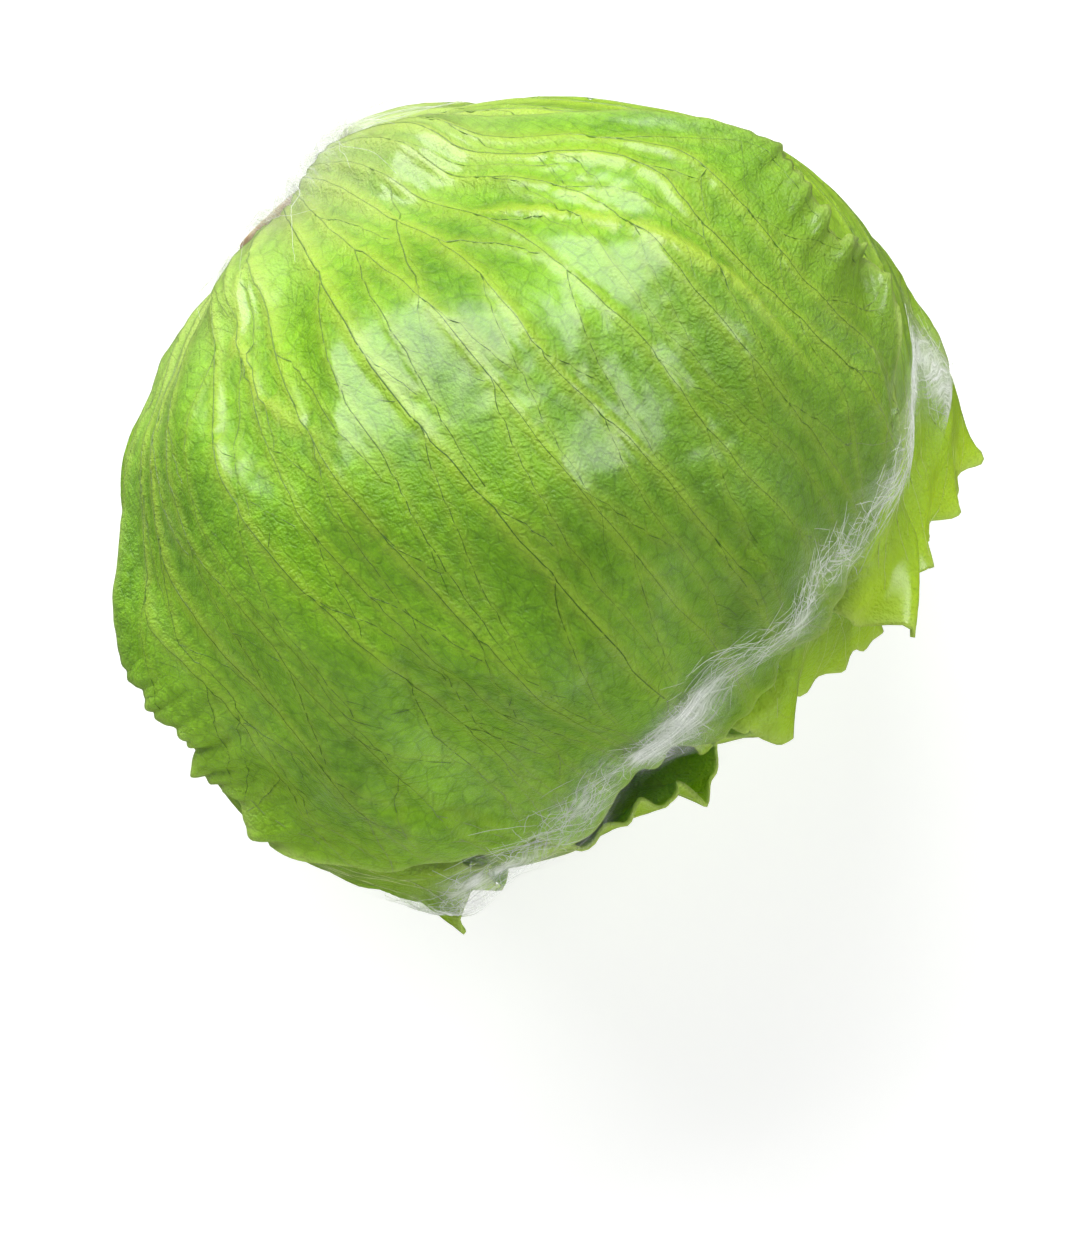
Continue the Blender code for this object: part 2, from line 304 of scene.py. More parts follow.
# %% Waves and flare
def waves_along(distance, lengths, draw):
    """Uneven waves of about unit height, from a few lengths that don't divide each other."""
    total = np.zeros_like(distance)
    for length in lengths:
        total += np.sin(2.0 * math.pi * distance / length + any_turn(draw))
    return total / math.sqrt(len(lengths))


def flare_at(number, way, u, v):
    """How far the tip of a leaf stands away from the head."""
    leaf = LEAVES[number]
    share = np.clip(1.0 - (1.0 - v) * leaf.length * MEAN_RADIUS / leaf.flare_depth, 0.0, 1.0)
    closer = 1.0 - 3.0 * leaf.slant * np.clip(u, 0.0, 1.0)
    return leaf.flare * closer * freedom(number, way) * share**FLARE_POWER


trial = waves_along(np.linspace(0.0, 0.03, 4), SHARP_TEETH, np.random.default_rng(SEED))
print("waves along a trial edge:", np.round(trial, 2))


# %% A leaf's sheet
def leaf_sheet(number):
    """(points, measures) of a leaf's outer face, one row of points for each line across it."""
    leaf = LEAVES[number]
    draw = np.random.default_rng(SEED * 100 + number)
    across_cells, along_cells = leaf.cells
    rows = 1.0 - (1.0 - np.linspace(0.0, 1.0, along_cells + 1)) ** 1.2
    u, v = np.meshgrid(np.linspace(-1.0, 1.0, across_cells + 1), rows)
    width = leaf.half_spread(v) * MEAN_RADIUS
    length = leaf.length * MEAN_RADIUS
    from_side = (1.0 - np.abs(u)) * width
    from_tip = (1.0 - v) * length
    from_edge = -CORNER * np.log(np.exp(-from_side / CORNER) + np.exp(-from_tip / CORNER))
    from_edge = np.maximum(from_edge, 0.0)
    bearing = np.arctan2(u * width, (v - 0.45) * length) * BEARING_TO_LENGTH
    distal = smooth_step(0.30, 0.80, v)
    teeth = np.abs(waves_along(bearing, SHARP_TEETH, draw))
    teeth += 0.6 * waves_along(bearing, SMALL_TEETH, draw)
    teeth *= TOOTH_HEIGHT * (0.5 + 0.5 * waves_along(bearing, TOOTH_GROUPS, draw))
    teeth *= min(1.0, leaf.frill / FULL_FRILL)
    lobes = LOBE_HEIGHT * waves_along(bearing, LOBES, draw)
    grow = STILL + (1.0 - STILL) * distal

    def grown(distance):
        return grow * (teeth * np.exp(-distance / TOOTH_DEPTH) + lobes * np.exp(-distance / LOBE_DEPTH))

    way = leaf.ways(u * (1.0 + grown(from_side) / width), v * (1.0 + grown(from_tip) / length))
    free = freedom(number, way)
    frill = waves_along(bearing, FRILLS, draw) * np.exp(-from_edge / FRILL_DEPTH)
    frill += 0.45 * waves_along(bearing, SMALL_FRILLS, draw) * np.exp(-from_edge / SMALL_FRILL_DEPTH)
    frill *= leaf.frill * grow * (STILL + (1.0 - STILL) * free)
    curl = EDGE_CURL * free * smooth_step(0.15, 0.40, v) * np.exp(-((from_side / 0.0045) ** 2))
    points = layer_points(way, lift_under(number, way) + flare_at(number, way, u, v) + frill + curl)
    points[..., 2] = np.maximum(points[..., 2], LOWEST_LEAF)
    measures = {
        "edge": np.exp(-from_edge / 0.0011),
        "tip": distal * np.exp(-from_edge / 0.016) * leaf.yellow * (0.25 + 0.75 * free),
        "foot": 1.0 - smooth_step(0.0, 0.30, v),
        "shade": np.full_like(u, leaf.yellow),
        # painted shade: rises towards the tip on the leaf's -u side, where the head turns from the light
        "deep": smooth_step(0.30, 0.75, v) * (1.0 - smooth_step(-0.50, 0.45, u)),
        "across": u * width,
        "along": v * length,
    }
    return points, measures


print("points of the top leaf's sheet:", leaf_sheet(len(LEAVES) - 1)[0].shape[:2])

# %% [markdown]
# ## Turning rows of points into a mesh
# numpy holds each sheet as a grid of points. We could bend a plane with modifiers instead, but then
# the layers wouldn't know of each other. The helper joins neighbours into four-sided faces and stores
# the leaf's own measurements on the mesh, where Geometry Nodes and the materials can read them by
# name. Ribs and creases start as lines, and a second helper makes those.

# %% Objects and their measures
def new_object(name, data):
    """An object at the origin, in the scene."""
    obj = bpy.data.objects.new(name, data)
    bpy.context.scene.collection.objects.link(obj)
    return obj


def store_measures(mesh, measures):
    """Puts a number on each point of the mesh for every measure."""
    for key, values in measures.items():
        layer = mesh.attributes.new(key, "FLOAT", "POINT")
        layer.data.foreach_set("value", np.ascontiguousarray(values, np.float32).ravel())


print("measures of a leaf:", sorted(leaf_sheet(0)[1]))


# %% Grid and line meshes
def grid_mesh(name, points, measures, closed=False):
    """A sheet, or with closed a form whose columns meet and whose first and last rows are poles."""
    rows, columns = points.shape[:2]
    number = np.arange(rows * columns).reshape(rows, columns)
    right = np.roll(number, -1, axis=1) if closed else number[:, 1:]
    left = number if closed else number[:, :-1]
    faces = np.stack([left[:-1], right[:-1], right[1:], left[1:]], axis=-1).reshape(-1, 4)
    mesh = bpy.data.meshes.new(name)
    mesh.from_pydata(points.reshape(-1, 3).tolist(), [], faces.tolist())
    store_measures(mesh, measures)
    if closed:
        form = bmesh.new()
        form.from_mesh(mesh)
        bmesh.ops.remove_doubles(form, verts=form.verts, dist=1e-6)
        bmesh.ops.recalc_face_normals(form, faces=form.faces)
        form.to_mesh(mesh)
        form.free()
    mesh.shade_smooth()
    return new_object(name, mesh)


def line_mesh(name, lines, measures):
    """Edges through the points of each line, as an object."""
    edges, start = [], 0
    for points in lines:
        edges.extend((start + i, start + i + 1) for i in range(len(points) - 1))
        start += len(points)
    mesh = bpy.data.meshes.new(name)
    mesh.from_pydata(np.concatenate(lines).tolist(), edges, [])
    store_measures(mesh, {key: np.concatenate(values) for key, values in measures.items()})
    return new_object(name, mesh)


print("mesh helpers:", grid_mesh.__name__, "and", line_mesh.__name__)

# %% [markdown]
# ## Ribs that grow and fork
# The ribs of a lettuce leaf leave the stem side by side, fan out, and fork at sharp angles until
# they are about a centimetre apart; thin side veins run from one rib into the next. We grow them
# with the same rule. A rib walks up the leaf in short steps. Now and then it sends a thinner branch
# to one side, which bends back to run beside it, and a branch that meets another rib joins it. Drawn
# curves would look as good on one leaf, but growth gives nine leaves that all differ.

# %% Rib sizes
RIB_STEP = 0.0018
RIB_FOOT_WIDTH = 0.0019
VEIN_WIDTH = 0.00040
FORK_EVERY = (0.012, 0.026)
FORK_ANGLE = (0.30, 0.50)
JOIN_DISTANCE = 0.0012
FIRST_RIBS = 13
MOST_FORKS = 3
FOLD_WIDTH = 0.0020
print("ribs fork every", FORK_EVERY[0], "to", FORK_EVERY[1])


# %% Rib growth
def grow_ribs(leaf, draw):
    """Every rib and vein of a leaf, as rows of u, v and width."""
    length = leaf.length * MEAN_RADIUS
    grown, taken = [], np.zeros((0, 2))
    starts = np.linspace(-0.9, 0.9, FIRST_RIBS) + draw.uniform(-0.05, 0.05, FIRST_RIBS)
    buds = [(u, 0.0, 0.0, RIB_FOOT_WIDTH * draw.uniform(0.55, 1.1), 0) for u in starts]
    while buds:
        u, v, angle, width, order = buds.pop(0)
        until_fork = draw.uniform(*FORK_EVERY)
        side = draw.choice([-1.0, 1.0])
        sway = any_turn(draw)
        wander = 0.0
        path = []
        born = v
        while v < 0.99 and abs(u) < 0.98:
            reach = float(leaf.half_spread(np.array(v))) * MEAN_RADIUS
            here = np.array([u * reach, v * length])
            if order > 0 and len(path) > 4 and len(taken):
                if np.abs(taken - here).sum(1).min() < JOIN_DISTANCE:
                    break
            thin = width * (1.0 - 0.75 * (v - born) / (1.0 - born + 1e-6))
            path.append((u, v, max(thin, VEIN_WIDTH), here[0], here[1]))
            wander = 0.8 * wander + draw.normal() * 0.024 * (1 + order)
            swing = angle + wander + 0.05 * math.sin(sway + v * length / 0.012) * (1 + 0.6 * order)
            u += math.tan(swing) * RIB_STEP / reach
            v += RIB_STEP / length
            angle *= 0.95 if order < 2 else 0.985
            until_fork -= RIB_STEP
            if until_fork < 0.0 and order < MOST_FORKS and v > 0.12:
                until_fork = draw.uniform(*FORK_EVERY) * (1.0 + 0.30 * order)
                side = -side
                branch = max(thin * draw.uniform(0.35, 0.65), VEIN_WIDTH)
                buds.append((u, v, side * draw.uniform(*FORK_ANGLE), branch, order + 1))
        if len(path) > 6:
            rows = np.array(path)
            grown.append((order, rows[:, :3]))
            taken = np.concatenate([taken, rows[3:, 3:5]])
    return grown


trial = grow_ribs(LEAVES[-1], np.random.default_rng(SEED))
print("lines on a trial leaf:", len(trial), "of them ribs:", sum(order < 2 for order, _ in trial))


# %% Lines on a leaf
def leaf_lines(name, lines, place, leaf, folds=()):
    """A leaf's ribs or veins, and its folds, as edges whose points carry their width and colour."""
    places = list(folds)
    widths = [FOLD_WIDTH * np.sin(np.linspace(0.2, math.pi - 0.2, len(fold))) for fold in folds]
    tips = [np.zeros(len(fold)) for fold in folds]
    feet = [np.zeros(len(fold)) for fold in folds]
    for rows in lines:
        u, v, width = rows.T
        places.append(place(u, v))
        widths.append(width)
        tips.append(smooth_step(0.72, 0.95, v) * leaf.yellow)
        feet.append(1.0 - smooth_step(0.05, 0.60, v))
    return line_mesh(name, places, {"width": widths, "tip": tips, "foot": feet})


print("a fold is", FOLD_WIDTH, "wide, and a rib's foot up to", round(1.1 * RIB_FOOT_WIDTH, 4))

# %% [markdown]
# ## A short way to write node trees
# Every tree below, for geometry and for materials, is a list of nodes whose inputs are either a
# value or another node's output. The first helper makes a node, sets its options and fills its
# inputs; the others are the few nodes that come up again and again, so that a tree reads as a sum.

# %% Node helpers
def add(tree, kind, inputs=None, **options):
    made = tree.nodes.new(kind)
    for option, value in options.items():
        setattr(made, option, value)
    for key, value in (inputs or {}).items():
        if isinstance(value, bpy.types.NodeSocket):
            tree.links.new(value, made.inputs[key])
        else:
            made.inputs[key].default_value = value
    return made


def calc(tree, operation, first, second=0.0, third=0.0):
    """One arithmetic node, and its result."""
    return add(tree, "ShaderNodeMath", {0: first, 1: second, 2: third}, operation=operation).outputs[0]


def times(tree, first, second):
    return calc(tree, "MULTIPLY", first, second)


def noise(tree, place, scale, detail, **more):
    """The value of a noise pattern."""
    values = {"Vector": place, "Scale": scale, "Detail": detail, **more}
    return add(tree, "ShaderNodeTexNoise", values).outputs[0]


def ramp(tree, value, low, high):
    """0 up to low and 1 from high, evenly between."""
    return add(tree, "ShaderNodeMapRange", {0: value, 1: low, 2: high}).outputs[0]


def vector(tree, x, y, z=0.0):
    return add(tree, "ShaderNodeCombineXYZ", {0: x, 1: y, 2: z}).outputs[0]


def moved_by(tree, operation, first, second):
    """One vector node, and its result."""
    key = "Scale" if operation == "SCALE" else 1
    return add(tree, "ShaderNodeVectorMath", {0: first, key: second}, operation=operation).outputs[0]


def set_inputs(node, values):
    """Plain values for a node's inputs, by their names."""
    for key, value in values.items():
        node.inputs[key].default_value = value


print("node helpers:", [helper.__name__ for helper in (add, calc, times, noise, ramp, vector, moved_by)])


# %% Geometry tree helpers
def geometry_tree(name, inputs):
    """A geometry tree with the named inputs: (tree, group input, group output)."""
    tree = bpy.data.node_groups.new(name, "GeometryNodeTree")
    tree.interface.new_socket("Geometry", in_out="INPUT", socket_type="NodeSocketGeometry")
    for key, kind in inputs.items():
        tree.interface.new_socket(key, in_out="INPUT", socket_type=kind)
    tree.interface.new_socket("Geometry", in_out="OUTPUT", socket_type="NodeSocketGeometry")
    return tree, tree.nodes.new("NodeGroupInput"), tree.nodes.new("NodeGroupOutput")


def end_tree(tree, given, result, shape):
    """Ends a tree with real geometry that has its material, which is what an export can read."""
    real = add(tree, "GeometryNodeRealizeInstances", {0: shape}).outputs[0]
    values = {"Geometry": real, "Material": given.outputs["Material"]}
    tree.links.new(add(tree, "GeometryNodeSetMaterial", values).outputs[0], result.inputs[0])
    return tree


def use_tree(obj, tree, values):
    """Puts the tree on an object, with each named input set by its socket's identifier."""
    modifier = obj.modifiers.new(tree.name, "NODES")
    modifier.node_group = tree
    for item in tree.interface.items_tree:
        if item.in_out == "INPUT" and item.name in values:
            modifier[item.identifier] = values[item.name]
    return modifier


def finished(obj):
    """A new object that holds the evaluated mesh of this one, which is removed."""
    evaluated = obj.evaluated_get(bpy.context.evaluated_depsgraph_get())
    mesh = bpy.data.meshes.new_from_object(evaluated)
    name = obj.name
    bpy.data.objects.remove(obj)
    mesh.name = name
    return new_object(name, mesh)


print("tree helpers:", [helper.__name__ for helper in (geometry_tree, end_tree, use_tree, finished)])

# %% [markdown]
# ## Leaf relief with Geometry Nodes
# A leaf's surface follows its ribs: it stands up along each one and puckers between them. Geometry
# Nodes fit this well, because Geometry Proximity gives every point of the leaf its distance to the
# nearest rib. The tree raises the ribs, puckers the blade, and stores both measures so that the
# material can colour the ribs where the shape has them.

# %% Measures in a tree
def store(tree, geometry, name, value):
    node = add(tree, "GeometryNodeStoreNamedAttribute",
               {"Geometry": geometry, "Name": name, "Value": value}, data_type="FLOAT", domain="POINT")
    return node.outputs[0]


def named(tree, name):
    return add(tree, "GeometryNodeInputNamedAttribute", {"Name": name}, data_type="FLOAT").outputs[0]


def bell(tree, distance, width):
    """1 at no distance, falling to nearly 0 at twice the width."""
    share = calc(tree, "DIVIDE", distance, width)
    return calc(tree, "EXPONENT", times(tree, times(tree, share, share), -1.0))


def lines_of(tree, given, key):
    """The lines of the object that the named input gives."""
    return add(tree, "GeometryNodeObjectInfo", {"Object": given.outputs[key]}).outputs["Geometry"]


def distance_to(tree, lines):
    return add(tree, "GeometryNodeProximity", {0: lines}, target_element="EDGES").outputs["Distance"]


def width_near(tree, lines):
    """The width that the lines carry at their nearest point."""
    nearest = add(tree, "GeometryNodeSampleNearest", {"Geometry": lines}, domain="POINT").outputs[0]
    values = {"Geometry": lines, "Value": named(tree, "width"), "Index": nearest}
    return add(tree, "GeometryNodeSampleIndex", values, data_type="FLOAT", domain="POINT").outputs[0]


def end_relief(tree, given, result, height, measures):
    """Ends a tree that moves each point out by the height and stores the measures on it."""
    shape = given.outputs["Geometry"]
    for name, value in measures.items():
        shape = store(tree, shape, name, value)
    normal = add(tree, "GeometryNodeInputNormal").outputs[0]
    offset = moved_by(tree, "SCALE", normal, height)
    moved = add(tree, "GeometryNodeSetPosition", {"Geometry": shape, "Offset": offset}).outputs[0]
    return end_tree(tree, given, result, moved)


print("measure helpers:", [helper.__name__ for helper in (store, named, bell, width_near, end_relief)])


# %% Leaf relief tree
def leaf_relief_tree():
    tree, given, result = geometry_tree("leaf_relief", {
        "Ribs": "NodeSocketObject",
        "Rib Height": "NodeSocketFloat",
        "Pucker Height": "NodeSocketFloat",
        "Material": "NodeSocketMaterial",
    })
    ribs = lines_of(tree, given, "Ribs")
    width = width_near(tree, ribs)
    distance = distance_to(tree, ribs)
    strength = calc(tree, "DIVIDE", width, RIB_FOOT_WIDTH)
    ridge = times(tree, bell(tree, distance, times(tree, width, 0.9)), strength)
    halo = bell(tree, distance, calc(tree, "MULTIPLY_ADD", width, 1.6, 0.0006))
    halo = times(tree, halo, calc(tree, "MINIMUM", calc(tree, "POWER", strength, 0.7), 1.0))
    flat = vector(tree, times(tree, named(tree, "across"), 1.6), named(tree, "along"))
    cells = add(tree, "ShaderNodeTexVoronoi", {"Vector": flat, "Scale": 230.0, "Smoothness": 0.7},
                feature="SMOOTH_F1").outputs["Distance"]
    swell = noise(tree, flat, 95.0, 2.0)
    patches = ramp(tree, noise(tree, flat, 30.0, 1.0), 0.38, 0.62)
    blister = times(tree, calc(tree, "SUBTRACT", 0.6, cells), patches)
    pucker = calc(tree, "MULTIPLY_ADD", swell, 1.6, blister)
    raised = times(tree, ridge, given.outputs["Rib Height"])
    height = calc(tree, "MULTIPLY_ADD", pucker, given.outputs["Pucker Height"], raised)
    return end_relief(tree, given, result, height, {"rib": ridge, "halo": halo})


RELIEF = leaf_relief_tree()
print("leaf relief nodes:", len(RELIEF.nodes))

# %% [markdown]
# ## Veins with Geometry Nodes
# Along each rib and between the ribs run thin dark veins, finer than the leaf's own mesh. They
# are real strands here: the tree takes the lines that grew above, drops them on the finished
# leaf, and sweeps a small ring along them with each line's own width.

# %% Strand tree
def strand_tree():
    tree, given, result = geometry_tree("strands", {
        "Lines": "NodeSocketObject",
        "Full Width": "NodeSocketFloat",
        "Thickness": "NodeSocketFloat",
        "Stands Proud": "NodeSocketFloat",
        "Material": "NodeSocketMaterial",
    })
    leaf = given.outputs["Geometry"]
    veins = lines_of(tree, given, "Lines")
    on_leaf = add(tree, "GeometryNodeProximity", {0: leaf}, target_element="FACES").outputs["Position"]
    here = add(tree, "GeometryNodeInputPosition").outputs[0]
    away = moved_by(tree, "SUBTRACT", here, on_leaf)
    away = add(tree, "ShaderNodeVectorMath", {0: away}, operation="NORMALIZE").outputs[0]
    place = moved_by(tree, "ADD", on_leaf, moved_by(tree, "SCALE", away, given.outputs["Stands Proud"]))
    laid = add(tree, "GeometryNodeSetPosition", {"Geometry": veins, "Position": place}).outputs[0]
    share = calc(tree, "DIVIDE", named(tree, "width"), given.outputs["Full Width"])
    size = times(tree, calc(tree, "POWER", share, 0.45), given.outputs["Thickness"])
    curve = add(tree, "GeometryNodeMeshToCurve", {"Mesh": laid}).outputs[0]
    ring = add(tree, "GeometryNodeCurvePrimitiveCircle", {"Resolution": 3, "Radius": 1.0}, mode="RADIUS")
    sweep = add(tree, "GeometryNodeCurveToMesh", {
        "Curve": curve, "Profile Curve": ring.outputs[0], "Fill Caps": True, "Scale": size})
    strands = store(tree, sweep.outputs[0], "strand", 1.0)
    smooth = add(tree, "GeometryNodeSetShadeSmooth", {"Geometry": strands, "Shade Smooth": True}).outputs[0]
    both = tree.nodes.new("GeometryNodeJoinGeometry")
    tree.links.new(leaf, both.inputs[0])
    tree.links.new(smooth, both.inputs[0])
    return end_tree(tree, given, result, both.outputs[0])


STRANDS = strand_tree()
print("strand nodes:", len(STRANDS.nodes))

# %% [markdown]
# ## Leaf material
# A leaf is green where the blade is thick with sap and pale where it is mostly water: along the
# ribs, at the foot and on the thin new growth of the frills, which is yellow-green. One Principled
# shader does it, mixed from the measures that the leaf carries. Fine veins between the ribs come
# from cell edges in the leaf's own flat coordinates, and a tight bump gives the wet, blistered skin.

# %% Leaf colours
BLADE_DARK = (0.062, 0.215, 0.001, 1.0)
BLADE_LIGHT = (0.315, 0.690, 0.004, 1.0)
# painted shade: the dark green laid on the side of each leaf that turns away from the light
PAINTED_SHADE_COLOUR = (0.070, 0.190, 0.001, 1.0)
YOUNG_COLOUR = (0.400, 0.660, 0.020, 1.0)
RIB_COLOUR = (0.470, 0.650, 0.050, 1.0)
VEIN_COLOUR = (0.050, 0.130, 0.004, 1.0)
PALE_VEIN_COLOUR = (0.760, 0.860, 0.400, 1.0)
FOOT_COLOUR = (0.640, 0.740, 0.330, 1.0)
FRILL_COLOUR = (0.470, 0.720, 0.004, 1.0)
RIM_COLOUR = (0.500, 0.640, 0.160, 1.0)
print("blade from", BLADE_DARK[:3], "to", BLADE_LIGHT[:3])


# %% Material helpers
def colour_mix(tree, factor, first, second):
    node = add(tree, "ShaderNodeMix", {0: factor}, data_type="RGBA")
    for socket, value in ((node.inputs[6], first), (node.inputs[7], second)):
        if isinstance(value, bpy.types.NodeSocket):
            tree.links.new(value, socket)
        else:
            socket.default_value = value
    return node.outputs[2]


def measure(tree, name):
    return add(tree, "ShaderNodeAttribute", attribute_name=name).outputs["Fac"]


def new_material(name):
    made = bpy.data.materials.new(name)
    made.use_nodes = True
    tree = made.node_tree
    return made, tree, tree.nodes["Principled BSDF"]


def raise_skin(tree, shader, height, strength, depth):
    """Lets the surface look raised by this height, without moving it."""
    bump = add(tree, "ShaderNodeBump", {"Height": height, "Strength": strength, "Distance": depth})
    tree.links.new(bump.outputs[0], shader.inputs["Normal"])


print("material helpers:", [helper.__name__ for helper in (colour_mix, measure, new_material, raise_skin)])


# %% Leaf material
def leaf_material():
    made, tree, shader = new_material("lettuce_leaf")
    place = add(tree, "ShaderNodeTexCoord").outputs["Object"]
    flat = vector(tree, times(tree, measure(tree, "across"), 1.8), measure(tree, "along"))
    broad = noise(tree, place, 28.0, 2.5)
    fine = noise(tree, place, 420.0, 5.0, Roughness=0.6)
    grain = noise(tree, place, 1700.0, 3.0)
    warp = add(tree, "ShaderNodeTexNoise", {"Vector": flat, "Scale": 120.0, "Detail": 1.0}).outputs[1]
    bent = add(tree, "ShaderNodeVectorMath", {0: warp, 1: (0.004, 0.004, 0.0), 2: flat},
               operation="MULTIPLY_ADD")
    web = add(tree, "ShaderNodeTexVoronoi", {"Vector": bent.outputs[0], "Scale": 210.0},
              feature="DISTANCE_TO_EDGE").outputs["Distance"]
    vein = calc(tree, "SUBTRACT", 1.0, ramp(tree, web, 0.015, 0.075))
    mottle = calc(tree, "MULTIPLY_ADD", fine, 0.7, calc(tree, "MULTIPLY_ADD", broad, 0.9, -0.35))
    blade = colour_mix(tree, ramp(tree, mottle, 0.18, 0.74), BLADE_DARK, BLADE_LIGHT)
    # painted shade darkens the blade towards its tip on one side; the second entry is each leaf's own yellow
    # tint
    for name, share, colour in (("deep", 0.62, PAINTED_SHADE_COLOUR), ("shade", 0.38, YOUNG_COLOUR)):
        blade = colour_mix(tree, times(tree, measure(tree, name), share), blade, colour)
    blade = colour_mix(tree, times(tree, vein, 0.26), blade, VEIN_COLOUR)
    ribs = times(tree, measure(tree, "rib"), 0.25)
    ribs = calc(tree, "MULTIPLY_ADD", measure(tree, "halo"), 0.50, ribs)
    blade = colour_mix(tree, ribs, blade, RIB_COLOUR)
    outer = (("tip", 0.9, FRILL_COLOUR), ("foot", 0.48, FOOT_COLOUR), ("edge", 0.55, RIM_COLOUR))
    for name, share, colour in outer:
        blade = colour_mix(tree, times(tree, measure(tree, name), share), blade, colour)
    strand = colour_mix(tree, ramp(tree, measure(tree, "tip"), 0.10, 0.45), VEIN_COLOUR, PALE_VEIN_COLOUR)
    shown = calc(tree, "MULTIPLY_ADD", measure(tree, "foot"), -0.42, 0.80)
    blade = colour_mix(tree, times(tree, measure(tree, "strand"), shown), blade, strand)
    tree.links.new(blade, shader.inputs["Base Color"])
    skin = calc(tree, "MULTIPLY_ADD", grain, 0.42, times(tree, vein, -0.06))
    skin = calc(tree, "MULTIPLY_ADD", fine, 0.6, skin)
    raise_skin(tree, shader, skin, 0.85, 0.0013)
    tree.links.new(ramp(tree, fine, -0.6, 2.2), shader.inputs["Roughness"])
    set_inputs(shader, {
        "Specular IOR Level": 0.40,
        "Coat Weight": 0.9,
        "Coat Roughness": 0.23,
        "Subsurface Weight": 0.12,
        "Subsurface Radius": (0.6, 1.0, 0.2),
        "Subsurface Scale": 0.0015,
    })
    return made


LEAF_FINISH = leaf_material()
print("leaf material nodes:", len(LEAF_FINISH.node_tree.nodes))

# %% [markdown]
# ## Making the nine leaves
# One function makes any leaf: the sheet, its ribs and veins as plain lines, the relief, a wall, and
# the veins swept on top. A wall made by Solidify before the veins keeps them as thin strands of
# their own. The top leaf also has two stiff folds, drawn from above.

# %% Folds of the top leaf
DOME_LENGTH, DOME_WIDTH, DOME_HEIGHT = 0.076, 0.088, 0.078  # half sizes of the wrapped head
# (x, y) in millimetres, from above
TOP_FOLDS = [
    [(-66, -12), (-60, -21), (-52, -28), (-38, -31), (-29, -28), (-18, -23)],
    [(-50, 20), (-38, 33), (-20, 45), (4, 52), (26, 52)],
]


def from_above(corners):
    """Directions of a line drawn from above on the head."""
    corners = np.array(corners, float)
    steps = np.linspace(0.0, len(corners) - 1.0, 12 * len(corners))
    x = np.interp(steps, np.arange(len(corners)), corners[:, 0]) / 1000.0
    y = np.interp(steps, np.arange(len(corners)), corners[:, 1]) / 1000.0
    z = DOME_HEIGHT * np.sqrt(np.clip(1.0 - (x / DOME_LENGTH) ** 2 - (y / DOME_WIDTH) ** 2, 0.01, 1.0))
    away = np.stack([x, y, z], axis=-1)
    return away / np.linalg.norm(away, axis=1)[:, None]


print("folds of the top leaf:", len(TOP_FOLDS))


# %% Make the leaves
VEIN_DROP = 0.0025  # the veins' lines start this far above the leaf and are dropped on it


def make_leaf(number):
    leaf = LEAVES[number]
    points, measures = leaf_sheet(number)
    sheet = grid_mesh(leaf.name, points, measures)

    def place(u, v, above=0.0):
        way = leaf.ways(u, v)
        return layer_points(way, lift_under(number, way) + flare_at(number, way, u, v) + above)

    lines = grow_ribs(leaf, np.random.default_rng(SEED * 200 + number))
    folds = []
    if leaf.name == "wrapper_leaf_top":
        folds = [layer_points(way, lift_under(number, way)) for way in map(from_above, TOP_FOLDS)]
    ribs = leaf_lines("ribs", [rows for order, rows in lines if order < 2], place, leaf, folds)
    veins = leaf_lines("veins", [rows for _, rows in lines], lambda u, v: place(u, v, VEIN_DROP), leaf)
    use_tree(sheet, RELIEF, {
        "Ribs": ribs,
        "Rib Height": 0.0008,
        "Pucker Height": 0.00042,
        "Material": LEAF_FINISH,
    })
    wall = sheet.modifiers.new("thickness", "SOLIDIFY")
    wall.thickness = LEAF_THICKNESS
    wall.offset = -1.0
    use_tree(sheet, STRANDS, {
        "Lines": veins,
        "Full Width": RIB_FOOT_WIDTH,
        "Thickness": 0.00018,
        "Stands Proud": -0.00004,
        "Material": LEAF_FINISH,
    })
    made = finished(sheet)
    bpy.data.objects.remove(ribs)
    bpy.data.objects.remove(veins)
    made.data.calc_loop_triangles()
    print(leaf.name, "lines:", len(lines), "triangles:", len(made.data.loop_triangles))
    return made


leaf_objects = {leaf.name: make_leaf(number) for number, leaf in enumerate(LEAVES)}

# %% [markdown]
# ## The heart
# Inside the wrapped leaves the youngest ones are packed so tightly that they read as one solid
# heart, pale and yellowish where no light has reached it. It could be a dozen more leaves, but none
# of them would show. We make it one closed form on the shared head shape, with a slight swirl for
# the leaves in it, and give it the same skin as the leaves.

# %% Make the heart
HEART_ROWS, HEART_COLUMNS = 90, 150


def round_form(rows, columns):
    """Directions in rows from the stem to the crown, and their two angles."""
    from_stem, round_stem = np.meshgrid(
        np.linspace(0.0, math.pi, rows),
        np.linspace(0.0, -2.0 * math.pi, columns, endpoint=False),
        indexing="ij",
    )
    out = np.sin(from_stem)
    way = np.stack([-np.cos(from_stem), out * np.sin(round_stem), out * np.cos(round_stem)], -1)
    return way, from_stem, round_stem


way, from_stem, round_stem = round_form(HEART_ROWS, HEART_COLUMNS)
swirl = np.sin(5.0 * round_stem + 2.2 * from_stem) * np.sin(from_stem)
heart = grid_mesh("heart_ball", layer_points(way, 0.0008 * (swirl - 1.0)), {
    "tip": 0.55 + 0.25 * swirl,
    "halo": 0.5 - 0.5 * swirl,
    "across": round_stem * 0.05,
    "along": from_stem * 0.06,
}, closed=True)
heart.data.materials.append(LEAF_FINISH)
print("heart faces:", len(heart.data.polygons))

# %% [markdown]
# ## The cut stem
# The head was cut from its root with a knife. The cut face is flat with a slightly raised rim, and
# it browns within hours, most at the rim and in the ring of vessels. A plain cylinder would look
# like a peg, so we turn a profile about the head's axis and let it wobble a little, as grown stems
# do. The mesh keeps the distance from the axis for the material.

# %% Make the stem
STEM_COLUMNS = 72
stem_low, stem_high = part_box("stem")
STEM_AXIS = np.array([0.0, (stem_low.y + stem_high.y) / 2, (stem_low.z + stem_high.z) / 2])
STEM_RADIUS = (stem_high.z - stem_low.z) / 2
STEM_LENGTH = stem_high.x - stem_low.x
